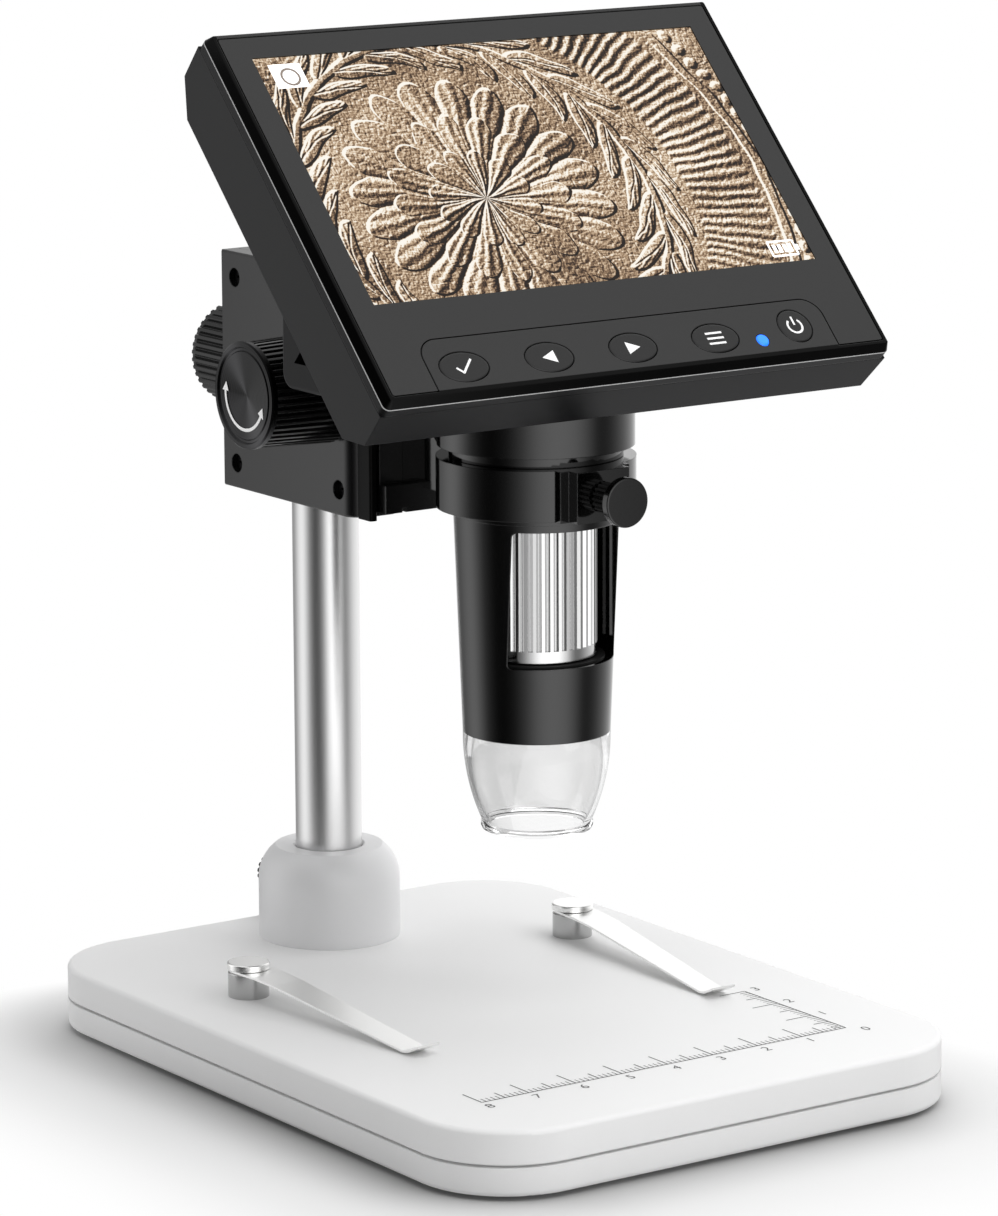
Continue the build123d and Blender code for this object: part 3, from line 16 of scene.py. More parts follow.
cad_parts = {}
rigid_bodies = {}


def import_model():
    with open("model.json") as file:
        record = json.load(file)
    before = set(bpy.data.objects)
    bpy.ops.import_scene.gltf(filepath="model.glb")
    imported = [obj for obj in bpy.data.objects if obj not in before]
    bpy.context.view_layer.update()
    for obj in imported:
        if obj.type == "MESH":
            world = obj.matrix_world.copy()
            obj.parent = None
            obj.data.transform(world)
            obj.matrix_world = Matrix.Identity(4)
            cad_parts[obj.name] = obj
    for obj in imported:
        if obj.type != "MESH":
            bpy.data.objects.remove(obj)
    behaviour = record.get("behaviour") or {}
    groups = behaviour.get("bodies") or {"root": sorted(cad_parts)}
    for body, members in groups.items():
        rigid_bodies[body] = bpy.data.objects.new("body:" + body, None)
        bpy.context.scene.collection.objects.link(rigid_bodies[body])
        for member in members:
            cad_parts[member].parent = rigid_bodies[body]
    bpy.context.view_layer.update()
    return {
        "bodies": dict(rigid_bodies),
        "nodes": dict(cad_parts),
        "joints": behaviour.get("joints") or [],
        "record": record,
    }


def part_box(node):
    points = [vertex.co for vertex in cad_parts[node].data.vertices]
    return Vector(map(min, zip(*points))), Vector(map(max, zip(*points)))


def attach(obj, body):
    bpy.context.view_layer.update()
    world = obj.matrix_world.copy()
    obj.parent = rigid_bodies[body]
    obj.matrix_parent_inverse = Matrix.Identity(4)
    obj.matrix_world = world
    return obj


LOG = logging.getLogger("microscope")
MM = 0.001

Colour = tuple[float, float, float, float]
Point2 = tuple[float, float]
Point3 = tuple[float, float, float]
Material = bpy.types.Material
Socket = bpy.types.NodeSocket
Tree = bpy.types.NodeTree

# From the CAD model: the middle of the picture, its lean in degrees, and the knobs' axis in Y and Z.
FACE_MIDDLE: Point3 = (0.0, -15.0, 168.85)
FACE_LEAN = 44.2
KNOB_AXIS: Point2 = (28.5, 124.3)

# A numeral's height as a share of its type's size.
NUMERAL_SHARE = 0.7

# How far grain changes the roughness, and its height, as shares.
GRAIN_WEAR = 0.12
GRAIN_RISE = 0.3


# -------------------- colour and nodes
def linear(hex_code: str) -> Colour:
    """Turn six sRGB hex digits into linear red, green and blue, with an alpha of 1."""
    values = (byte / 255 for byte in bytes.fromhex(hex_code))
    return (*(v / 12.92 if v <= 0.04045 else ((v + 0.055) / 1.055) ** 2.4 for v in values), 1.0)


WHITE = linear("FFFFFF")


def add_node(
    tree: Tree, kind: str, inputs: dict[str | int, object] | None = None, output: str | int = 0, **settings: object
) -> Socket | None:
    """Add one node with its settings, input values and incoming links.

    Args:
        tree: The node tree that takes the node.
        kind: The node's type name, less its leading ShaderNode.
        inputs: Socket name or index to a plain value, or to an output socket that is linked in.
        output: Name or index of the result wanted.
        settings: Properties of the node itself.

    Returns:
        The output socket wanted, or nothing where the node has none.
    """
    node = tree.nodes.new("ShaderNode" + kind)
    for key, value in settings.items():
        setattr(node, key, value)
    for key, value in (inputs or {}).items():
        if isinstance(value, Socket):
            tree.links.new(value, node.inputs[key])
        else:
            node.inputs[key].default_value = value
    return node.outputs[output] if len(node.outputs) else None


def calc(tree: Tree, operation: str, *values: object) -> Socket:
    """Work out one number from others with a maths node."""
    return add_node(tree, "Math", dict(enumerate(values)), operation=operation)


def vector(tree: Tree, operation: str, *values: object) -> Socket:
    """Work out a vector, or the number it comes down to, with a vector maths node."""
    output = "Value" if operation in ("LENGTH", "DOT_PRODUCT") else 0
    return add_node(tree, "VectorMath", dict(enumerate(values)), output, operation=operation)


def spread(
    tree: Tree, value: Socket, source: tuple[object, object], target: Point2 = (0.0, 1.0), smooth: bool = False
) -> Socket:
    """Map a value from its range onto the target's, held at the ends, and eased if smooth."""
    limits = {"Value": value, "From Min": source[0], "From Max": source[1], "To Min": target[0], "To Max": target[1]}
    return add_node(tree, "MapRange", limits, interpolation_type="SMOOTHSTEP" if smooth else "LINEAR")


def blend(tree: Tree, share: Socket, first: object, second: object) -> Socket:
    """Mix two colours by the share of the second."""
    return add_node(tree, "Mix", {0: share, 6: first, 7: second}, 2, data_type="RGBA")


def surface_point(tree: Tree) -> Socket:
    """Return the shaded point in the object's own frame, in metres."""
    return add_node(tree, "TexCoord", output="Object")


def along_axis(tree: Tree, point: Socket, axis: str) -> Socket:
    """Return a vector's X, Y or Z."""
    return add_node(tree, "SeparateXYZ", {0: point}, axis)


def angle(tree: Tree, point: Socket, rise: str, run: str) -> Socket:
    """Return a vector's angle in the plane of two axes, in radians from the second."""
    return calc(tree, "ARCTAN2", along_axis(tree, point, rise), along_axis(tree, point, run))


def cell(tree: Tree, turn: Socket, count: int, shift: float | Socket = 0.0) -> Socket:
    """Divide a full turn into equal cells and return the place within one, from 0 to 1."""
    return calc(tree, "FRACT", calc(tree, "MULTIPLY_ADD", turn, count / (2 * math.pi), shift))


def ramp(tree: Tree, place: Socket, stops: list[tuple[float, Colour]], smooth: bool = False) -> Socket:
    """Add a colour ramp.

    Args:
        tree: The node tree.
        place: Where the ramp is read, from 0 to 1.
        stops: Pairs of position and linear colour, in rising order.
        smooth: Whether the colours follow a spline.

    Returns:
        The colour there.
    """
    colour = add_node(tree, "ValToRGB", {"Fac": place})
    band = colour.node.color_ramp
    band.interpolation = "B_SPLINE" if smooth else "LINEAR"
    while len(band.elements) < len(stops):
        band.elements.new(0.5)
    for element, (position, shade) in zip(band.elements, stops):
        element.position = position
        element.color = shade
    return colour


def new_material(name: str, shade: Callable[[Tree], Socket]) -> Material:
    """Make a material.

    Args:
        name: The material's name.
        shade: The function that adds its shader to a node tree.

    Returns:
        The material.
    """
    material = bpy.data.materials.new(name)
    material.use_nodes = True
    material.node_tree.nodes.clear()
    add_node(material.node_tree, "OutputMaterial", {"Surface": shade(material.node_tree)})
    return material


def new_object(name: str, data: bpy.types.ID) -> bpy.types.Object:
    """Make an object and link it into the scene.

    Args:
        name: The object's name.
        data: Its mesh, light or camera.

    Returns:
        The object.
    """
    made = bpy.data.objects.new(name, data)
    bpy.context.scene.collection.objects.link(made)
    return made


def mesh_object(name: str, mesh: bmesh.types.BMesh, material: Material) -> bpy.types.Object:
    """Turn a finished mesh into an object of the scene.

    Args:
        name: The object's name.
        mesh: The mesh, which is freed.
        material: Its one material.

    Returns:
        The object.
    """
    data = bpy.data.meshes.new(name)
    mesh.to_mesh(data)
    mesh.free()
    data.materials.append(material)
    return new_object(name, data)


# -------------------- finishes
class Grain(Enum):
    """How a surface was made, as the stretch of its finest marks along X, Y and Z."""

    SPARKED = (1.0, 1.0, 1.0)
    DRAWN_Z = (1.0, 1.0, 0.01)
    MILLED_X = (0.03, 1.0, 1.0)


@dataclass(frozen=True)
class Finish:
    """A solid, opaque surface whose fine grain roughens it and barely shades it."""

    name: str
    colour: str
    roughness: float
    metallic: float = 0.0
    ior: float = 1.5
    specular: float = 0.5
    coat: float = 0.0
    grain: Grain = Grain.SPARKED
    grain_mm: float = 0.15
    grain_depth: float = 0.10
    mottle: float = 0.05
    edge_mm: float = 0.0

    def sockets(self, tree: Tree) -> dict[str, object]:
        """Gather what goes into the main shader.

        Args:
            tree: The node tree.

        Returns:
            Each socket's value or link.
        """
        worked = add_node(tree, "Mapping", {"Vector": surface_point(tree), "Scale": self.grain.value})
        noise = {"Vector": worked, "Scale": 1 / (self.grain_mm * MM), "Detail": 2.0, "Roughness": 0.55}
        marks = add_node(tree, "TexNoise", noise, "Fac")
        base = linear(self.colour)[:3]
        darker = tuple(c * (1 - self.mottle) for c in base) + (1.0,)
        lighter = tuple(min(1.0, c * (1 + self.mottle)) for c in base) + (1.0,)
        worn = (self.roughness * (1 - GRAIN_WEAR), self.roughness * (1 + GRAIN_WEAR))
        relief = {"Height": marks, "Strength": self.grain_depth, "Distance": self.grain_mm * MM * GRAIN_RISE}
        if self.edge_mm:
            relief["Normal"] = add_node(tree, "Bevel", {"Radius": self.edge_mm * MM}, samples=4)
        found = {
            "Base Color": blend(tree, marks, darker, lighter),
            "Roughness": spread(tree, marks, (0.0, 1.0), worn),
            "Normal": add_node(tree, "Bump", relief),
            "Metallic": self.metallic,
            "Coat Weight": self.coat,
            "Coat Roughness": 0.05,
        }
        if self.metallic < 0.5:
            found["IOR"] = self.ior
            found["Specular IOR Level"] = self.specular
        return found

    def shader(self, tree: Tree) -> Socket:
        """Add the main shader."""
        return add_node(tree, "BsdfPrincipled", self.sockets(tree))


@dataclass(frozen=True)
class SpunMetal(Finish):
    """Metal from a lathe: rings round the knobs' axis, and a painted highlight fanned across them by angle."""

    ring_mm: float = 0.5
    ring_rise_mm: float = 0.04
    ring_depth: float = 0.15
    stretch: float = 0.85
    # Share of a turn from the Y axis, and the painted highlight fan's brightness there.
    fan: tuple[Point2, ...] = ((0.0, 0.2), (0.10, 0.3), (0.17, 2.8), (0.24, 0.3), (0.42, 0.15), (0.57, 0.3),
                               (0.66, 3.4), (0.75, 0.4), (0.86, 1.3), (1.0, 0.2))

    def sockets(self, tree: Tree) -> dict[str, object]:
        """Add the lathe's rings, a painted highlight fan in the colour by angle round the axis, and a highlight
        stretched along them.

        Args:
            tree: The node tree.

        Returns:
            Each socket's value or link.
        """
        found = super().sockets(tree)
        arm = vector(tree, "SUBTRACT", surface_point(tree), (0.0, *(c * MM for c in KNOB_AXIS)))
        reach = vector(tree, "LENGTH", vector(tree, "MULTIPLY", arm, (0.0, 1.0, 1.0)))
        groove = calc(tree, "SINE", calc(tree, "MULTIPLY", reach, 2 * math.pi / (self.ring_mm * MM)))
        relief = {"Height": groove, "Strength": self.ring_depth, "Distance": self.ring_rise_mm * MM}
        metal = linear(self.colour)[:3]
        fan = [(at, (*(c * level for c in metal), 1.0)) for at, level in self.fan]
        return found | {
            # Painted highlight: the colour brightens and darkens by angle round the knobs' axis.
            "Base Color": ramp(tree, cell(tree, angle(tree, arm, "Z", "Y"), 1, 1.0), fan, smooth=True),
            "Normal": add_node(tree, "Bump", relief),
            "Tangent": add_node(tree, "Tangent", direction_type="RADIAL", axis="X"),
            "Anisotropic": self.stretch,
        }


@dataclass(frozen=True)
class ClearMoulding(Finish):
    """Clear acrylic or glass that lets light through with a faint tint, and painted shade darkening it where it is
    seen edge-on.
    """

    # Near-black colour mixed in where a face is seen edge-on: painted shade for the dark edges.
    edge: str = "0C0D0D"
    # How far a face is turned away where the edge's painted shade begins, and where it is full.
    edge_range: Point2 = (0.68, 0.90)

    def sockets(self, tree: Tree) -> dict[str, object]:
        """Return the common sockets with full transmission and edges darkened by painted shade.

        Args:
            tree: The node tree.

        Returns:
            Each socket's value or link.
        """
        found = super().sockets(tree)
        facing = add_node(tree, "LayerWeight", {"Blend": 0.5}, "Facing")
        edge_shaded_colour = blend(tree, spread(tree, facing, self.edge_range), found["Base Color"], linear(self.edge))
        return found | {"Transmission Weight": 1.0, "Base Color": edge_shaded_colour}


@dataclass(frozen=True)
class Lamp(Finish):
    """A lit lens, or a mark whose painted glow keeps its tone."""

    strength: float = 1.0

    def sockets(self, tree: Tree) -> dict[str, object]:
        """Return the common sockets with a glow in the surface's own colour."""
        # Emission: real light for the lamps and the display, a painted glow for the white ink.
        glow = {"Emission Color": linear(self.colour), "Emission Strength": self.strength}
        return super().sockets(tree) | glow


@dataclass(frozen=True)
class CircuitBoard(Finish):
    """Solder-masked board: copper runs show as lighter lines under the lacquer."""

    track: str = "2E7A4A"
    track_mm: float = 1.27

    def sockets(self, tree: Tree) -> dict[str, object]:
        """Return the common sockets with the copper runs drawn under the lacquer."""
        runs = dict.fromkeys(("Color1", "Color2"), linear(self.colour)) | {
            "Vector": surface_point(tree),
            "Mortar": linear(self.track),
            "Scale": 1 / (self.track_mm * MM * 4),
            "Mortar Size": 0.06,
        }
        return super().sockets(tree) | {"Base Color": add_node(tree, "TexBrick", runs, offset=0.35)}


@dataclass(frozen=True)
class PolishedFrontEdge(Finish):
    """Textured moulding whose front edge is polished, with a painted highlight line where the polish begins.

    Inside the front panel's outline, where the keys stand, it has the panel's tone.
    """

    # The panel's half width, and its lower end up the face from the picture's middle.
    panel_half_mm: float = 52.6
    panel_low_mm: float = -45.8
    deck: str = "3A3A3A"
    polish: str = "030303"
    polish_roughness: float = 0.06
    # The painted highlight line's colour, the polish's depth behind the front, and the painted line's width.
    line: str = "CCCCCC"
    depth_mm: float = 1.75
    line_mm: float = 0.22
    # Half the width over which one tone gives way to the next.
    soft_mm: float = 0.05

    def sockets(self, tree: Tree) -> dict[str, object]:
        """Polish what lies near the front plane, and paint a highlight line where the polish ends.

        Args:
            tree: The node tree.

        Returns:
            Each socket's value or link.
        """
        found = super().sockets(tree)
        tilt = math.radians(FACE_LEAN)
        out = Vector((0.0, -math.cos(tilt), math.sin(tilt)))
        place = surface_point(tree)
        along = vector(tree, "DOT_PRODUCT", place, out / MM)
        behind = calc(tree, "SUBTRACT", out.dot(Vector(FACE_MIDDLE)), along)
        polished = spread(tree, behind, (self.depth_mm + self.soft_mm, self.depth_mm - self.soft_mm))
        # Painted highlight: a thin bright line just behind the polished band.
        off = calc(tree, "SUBTRACT", behind, self.depth_mm + self.line_mm / 2)
        bright = spread(tree, calc(tree, "ABSOLUTE", off), (self.line_mm * 0.7, self.line_mm * 0.3))
        side, soft = self.panel_half_mm * MM, self.soft_mm * MM
        low = FACE_MIDDLE[2] * MM + self.panel_low_mm * MM * math.cos(tilt)
        beside = spread(tree, calc(tree, "ABSOLUTE", along_axis(tree, place, "X")), (side + soft, side - soft))
        above = spread(tree, along_axis(tree, place, "Z"), (low - soft, low + soft))
        inner = calc(tree, "MULTIPLY", beside, above)
        front = blend(tree, inner, linear(self.polish), linear(self.deck))
        dark = blend(tree, polished, found["Base Color"], front)
        smooth = calc(tree, "SUBTRACT", polished, inner)
        rough = add_node(tree, "Mix", {0: smooth, 2: found["Roughness"], 3: self.polish_roughness})
        return found | {"Base Color": blend(tree, bright, dark, linear(self.line)), "Roughness": rough}


# Moulded white ABS with a satin spark: even and soft, with round bright edges.
WHITE_ABS = Finish("satin_white_abs_moulded", "F2F2F2", 0.55, grain_mm=0.30, grain_depth=0.06, mottle=0.008,
                   edge_mm=0.35)
# The same plastic from a polished mould: a tighter highlight on the dome.
WHITE_DOME = Finish("gloss_white_abs_moulded", "ECECED", 0.30, grain_mm=0.60, grain_depth=0.01, mottle=0.004,
                    edge_mm=0.25)
# Vulcanised rubber: dull, dark and a little dusty.
FOOT_RUBBER = Finish("moulded_rubber", "1B1B1B", 0.75, grain_mm=0.30, grain_depth=0.3)
# Zinc over pressed steel: a grey sheen with a faint crystal.
ZINC_STEEL = Finish("zinc_plated_steel", "A9ABAE", 0.32, metallic=1.0, grain_mm=0.2, edge_mm=0.1)
# Steel screws given a near-black colour as painted shade, so the holes read as black with a thin glint.
SCREW_PAINTED_HOLE_SHADE = Finish("steel_screw_painted_hole_shade", "08080A", 0.35, grain_mm=0.2, specular=0.25)
# Turned brass under bright nickel: sharp, near-white reflections.
NICKEL = Finish("nickel_plated_turned_brass", "F0F0EF", 0.22, metallic=1.0, grain=Grain.MILLED_X,
                grain_depth=0.05, mottle=0.02, edge_mm=0.15)
# The same plating on the posts, with a darker colour as painted shade for the base's shadow.
NICKEL_POST_PAINTED_SHADE = Finish("nickel_plated_post_painted_shade", "B6B6B6", 0.20, metallic=1.0, grain=Grain.DRAWN_Z,
                     grain_depth=0.05, mottle=0.03, edge_mm=0.15)
# Rolled spring strip: a pale, flat metal sheen.
SPRING_STRIP = Finish("nickel_plated_spring_strip", "F4F4F3", 0.33, metallic=1.0, grain_mm=0.2, grain_depth=0.04,
                      mottle=0.02, edge_mm=0.08)
# Drawn, clear-anodised tube: soft upright bands, with draw lines coarser than real ones.
DRAWN_ALUMINIUM = Finish("clear_anodised_drawn_aluminium", "DADADA", 0.30, metallic=1.0, grain=Grain.DRAWN_Z,
                         grain_mm=0.12, grain_depth=0.08, mottle=0.03)
# Glass-filled nylon: black with a dry surface.
BLACK_NYLON = Finish("black_nylon_moulded", "121212", 0.5, grain_mm=0.3)
# Bead-blasted, black-anodised block: dark planes with a grey sheen at a low angle.
BLASTED_ANODISED = Finish("black_anodised_blasted_aluminium", "0C0C0D", 0.22, specular=0.40, grain_mm=0.12,
                          grain_depth=0.05, edge_mm=0.35)
# Ground, dyed gib strips: a drier, deeper black than what slides on them.
GROUND_ANODISED = Finish("black_anodised_ground_gib", "050505", 0.40, specular=0.06, grain=Grain.DRAWN_Z,
                         grain_mm=0.10, grain_depth=0.05, edge_mm=0.2)
# Milled, black-anodised slide: sharper glints across the cut.
SMOOTH_ANODISED = Finish("black_anodised_machined_aluminium", "0A0A0B", 0.20, ior=1.55, grain=Grain.MILLED_X,
                         grain_mm=0.10, grain_depth=0.05, edge_mm=0.2)
# Turned brass: warm bearing and rack surfaces.
TURNED_BRASS = Finish("turned_brass", "C2A05A", 0.25, metallic=1.0)
# Piano-black ABS from a polished mould: long soft streaks on black.
GLOSS_ABS = Finish("piano_black_abs_moulded", "050505", 0.07, ior=1.55, grain_mm=0.6, grain_depth=0.012, mottle=0.1,
                   edge_mm=0.25)
# Ribbed ABS knob: a thin glint on each crest.
KNOB_ABS = Finish("black_abs_moulded_knob", "060606", 0.16, grain_mm=0.3, grain_depth=0.03, edge_mm=0.15)
# Black-anodised cap from a lathe: a painted fan of highlight across rings wide enough to show.
KNOB_CAP = SpunMetal("black_anodised_spun_aluminium", "2B2B2C", 0.26, metallic=1.0, grain_mm=0.25)
# Matte moulding inside the barrel, made to swallow light.
MATTE_ABS = Finish("matte_black_abs_inner", "101010", 0.6, grain_mm=0.3, specular=0.2)
# Satin chrome on a fluted ABS wheel: alternating bright and dark lines.
WHEEL_CHROME = Finish("satin_chromed_abs_wheel", "C6C6C6", 0.14, metallic=1.0, grain=Grain.DRAWN_Z,
                      grain_depth=0.04, edge_mm=0.06)
# Clear acrylic hood: a faint grey body with dark, crisp edges of painted shade.
CLEAR_ACRYLIC = ClearMoulding("clear_acrylic_moulded", "E9E9E9", 0.02, ior=1.49, grain_mm=4.0, grain_depth=0.004,
                              mottle=0.0)
# Coated objective glass.
COATED_LENS = ClearMoulding("coated_optical_glass", "E8F1FA", 0.01, ior=1.62, grain_mm=4.0, grain_depth=0.0,
                            mottle=0.0)
# Solder-masked glass-epoxy board.
BOARD = CircuitBoard("green_solder_masked_board", "14522E", 0.35, grain_mm=0.4, coat=0.4)
# Phosphor domes of the ring lights, dimly lit.
LED_WHITE = Lamp("white_led_phosphor", "F4EFC8", 0.4, strength=0.4, grain_mm=0.3)
# Finely textured ABS housing: a quiet, even black.
HOUSING_ABS = Finish("black_abs_fine_texture", "181819", 0.30, specular=0.07, grain_mm=0.16, grain_depth=0.08,
                     mottle=0.04, edge_mm=0.3)
# The same plastic, polished at the front: a black band with a painted highlight line.
BEZEL_ABS = PolishedFrontEdge("black_abs_polished_front_edge", "181819", 0.30, specular=0.08, grain_mm=0.16,
                              grain_depth=0.06, mottle=0.04, edge_mm=0.25)
# Acrylic sheet printed on its back: flat charcoal, softly shining.
PANEL_PRINT = Finish("back_printed_acrylic_matte", "121212", 0.38, grain_mm=0.20, grain_depth=0.04, mottle=0.02)
# Pressed steel frame round the display module.
MODULE_FRAME = Finish("stamped_steel_frame", "A9ABAE", 0.35, metallic=1.0, grain=Grain.MILLED_X, grain_mm=0.2)
# Heat-shrunk film over a flat cell.
CELL_WRAP = Finish("shrink_wrapped_cell", "7E8892", 0.35, grain_mm=0.8, coat=0.3)
# Satin ABS keys: darker than the panel, with a thin bright rim.
KEY_ABS = Finish("black_abs_key_satin", "0D0D0D", 0.24, specular=0.42, grain_mm=0.2, grain_depth=0.04, edge_mm=0.40)
# Blue light pipe, lit.
BLUE_LED = Lamp("blue_led_light_pipe", "1F6BFF", 0.15, strength=1.6, grain_mm=0.5)
# Inks: white on keys and knobs with a faint painted glow, grey for the scale, black on the housing.
PAINTED_GLOW_WHITE_INK = Lamp("white_screen_print_ink_painted_glow", "E6E6E6", 0.5, strength=0.25)
GREY_INK = Finish("grey_pad_print_ink", "565656", 0.6)
BLACK_INK = Finish("black_pad_print_ink", "020202", 0.8, specular=0.0)
# Signs that the lit display shows over its picture.
PICTURE_WHITE = Lamp("display_overlay_white", "FFFFFF", 0.5, strength=0.9)
PICTURE_DARK = Lamp("display_overlay_dark", "6A6058", 0.5, strength=0.8)


# -------------------- surfaces and marks
@dataclass(frozen=True)
class Sheet:
    """A flat place to print on, in millimetres."""

    origin: Point3
    right: Point3
    up: Point3

    def at(self, point: Point2, lift: float = 0.0) -> Vector:
        """Return a point in metres from its place on the sheet and its height above it."""
        right, up = Vector(self.right), Vector(self.up)
        return (Vector(self.origin) + right * point[0] + up * point[1] + right.cross(up) * lift) * MM


@dataclass
class Print:
    """Flat marks on one sheet, gathered into a single mesh, at a height above the sheet in millimetres."""

    name: str
    sheet: Sheet
    lift: float = 0.03
    arc_steps: int = 32
    mesh: bmesh.types.BMesh = field(default_factory=bmesh.new)

    def polygon(self, points: list[Point2]) -> None:
        """Fill an outline, given by its corners in millimetres."""
        self.mesh.faces.new([self.mesh.verts.new(self.sheet.at(p, self.lift)) for p in points])

    def block(self, low: Point2, high: Point2) -> None:
        """Fill an upright rectangle between its lower left and its upper right corner."""
        self.polygon([low, (high[0], low[1]), high, (low[0], high[1])])

    def line(self, start: Point2, end: Point2, width: float) -> None:
        """Draw a straight line with square ends."""
        side = Vector((start[1] - end[1], end[0] - start[0])).normalized() * width / 2
        self.polygon([Vector(p) + side * way for p, way in ((start, -1), (end, -1), (end, 1), (start, 1))])

    def arc(self, centre: Point2, radius: float, start: float, end: float, width: float) -> None:
        """Draw part of a ring.

        Args:
            centre: Its centre, in millimetres.
            radius: Middle radius.
            start: First angle in degrees, anticlockwise from the right.
            end: Last angle in degrees.
            width: Line width.
        """
        inner, outer = radius - width / 2, radius + width / 2
        rows = []
        for step in range(self.arc_steps + 1):
            turn = math.radians(start + (end - start) * step / self.arc_steps)
            rows.append([(centre[0] + r * math.cos(turn), centre[1] + r * math.sin(turn)) for r in (inner, outer)])
        for (a, b), (c, d) in zip(rows, rows[1:]):
            self.polygon([a, b, d, c])

    def text(self, words: str, at: Point2, height: float) -> None:
        """Add plain numerals.

        Args:
            words: What to print.
            at: Middle of the numerals, in millimetres.
            height: Height of a numeral.
        """
        curve = bpy.data.curves.new("type", "FONT")
        curve.body = words
        curve.align_x = curve.align_y = "CENTER"
        curve.size = height / NUMERAL_SHARE
        holder = bpy.data.objects.new("type", curve)
        flat = bpy.data.meshes.new_from_object(holder)
        made = [self.mesh.verts.new(self.sheet.at(Vector(at) + v.co.xy, self.lift)) for v in flat.vertices]
        for face in flat.polygons:
            self.mesh.faces.new([made[i] for i in face.vertices])
        bpy.data.objects.remove(holder)
        bpy.data.curves.remove(curve)
        bpy.data.meshes.remove(flat)

    def place(self, material: Material, body: str, slot: str) -> bpy.types.Object:
        """Turn the marks into a piece that rides on a body.

        Args:
            material: The ink.
            body: The body that carries it.
            slot: The record's material slot it belongs to; not used.

        Returns:
            The new piece.
        """
        bmesh.ops.recalc_face_normals(self.mesh, faces=self.mesh.faces)
        piece = mesh_object(self.name, self.mesh, material)
        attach(piece, body)
        LOG.info("%s: %d faces on %s", self.name, len(piece.data.polygons), body)
        return piece


@dataclass
class Assembly:
    """Shared work of every sub-assembly: dressing the CAD nodes it is made of."""

    frame: dict
    shelf: dict[str, Material]

    def material(self, finish: Finish | ReliefPicture) -> Material:
        """Return a finish's material, made once.

        Args:
            finish: The finish wanted.

        Returns:
            Its material.
        """
        if finish.name not in self.shelf:
            self.shelf[finish.name] = new_material(finish.name, finish.shader)
        return self.shelf[finish.name]

    def dress(self, finish: Finish | ReliefPicture, *nodes: str) -> None:
        """Give CAD nodes a finish.

        Args:
            finish: The finish.
            nodes: Names of the nodes.
        """
        for name in nodes:
            piece = self.frame["nodes"][name]
            for place in piece.material_slots:
                place.material = self.material(finish)
            LOG.info("%s: %s", name, finish.name)


# -------------------- the sub-assemblies
@dataclass
class Stand(Assembly):
    """Base shells, feet, column holder, column and spring clips."""

    corner: Point2 = (39.0, -55.2)
    front_marks: int = 8
    side_marks: int = 3
    line: float = 0.28
    # Length of a tick at each centimetre, half centimetre and millimetre.
    ticks: Point3 = (5.8, 3.4, 1.8)
    fine_share: float = 0.7
    numeral: float = 2.2
    numeral_gap: float = 2.6

    def build(self) -> None:
        """Dress the stand and print its scale."""
        self.dress(WHITE_ABS, "base_bottom_shell", "base_top_shell")
        self.dress(WHITE_DOME, "column_holder")
        self.dress(FOOT_RUBBER, "rubber_feet")
        self.dress(ZINC_STEEL, "ballast_plate", "base_screws", "holder_screws", "clip_post_nuts")
        self.dress(NICKEL, "clip_caps")
        self.dress(NICKEL_POST_PAINTED_SHADE, "clip_posts")
        self.dress(SPRING_STRIP, "stage_clip_left", "stage_clip_right")
        self.dress(KNOB_ABS, "holder_thumbscrew")
        self.dress(DRAWN_ALUMINIUM, "column_tube")
        self.dress(BLACK_NYLON, "column_end_plugs")
        self.scale()

    def scale(self) -> None:
        """Print a centimetre scale along the front and right of the stage."""
        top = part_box("base_top_shell")[1].z / MM
        marks = Print("stage_scale", Sheet((*self.corner, top), (1, 0, 0), (0, 1, 0)))
        left, back = Vector((-1, 0)), Vector((0, 1))
        for way, aside, centimetres in ((left, back, self.front_marks), (back, left, self.side_marks)):
            marks.line((0, 0), way * 10 * centimetres, self.line)
            for tick in range(1, 10 * centimetres + 1):
                length = self.ticks[0 if tick % 10 == 0 else 1 if tick % 5 == 0 else 2]
                width = self.line if tick % 5 == 0 else self.line * self.fine_share
                marks.line(way * tick, way * tick + aside * length, width)
            for number in range(1, centimetres + 1):
                marks.text(str(number), way * 10 * number - aside * self.numeral_gap, self.numeral)
        marks.text("0", (self.numeral_gap, -self.numeral_gap), self.numeral)
        marks.place(self.material(GREY_INK), "base", "white_shell")


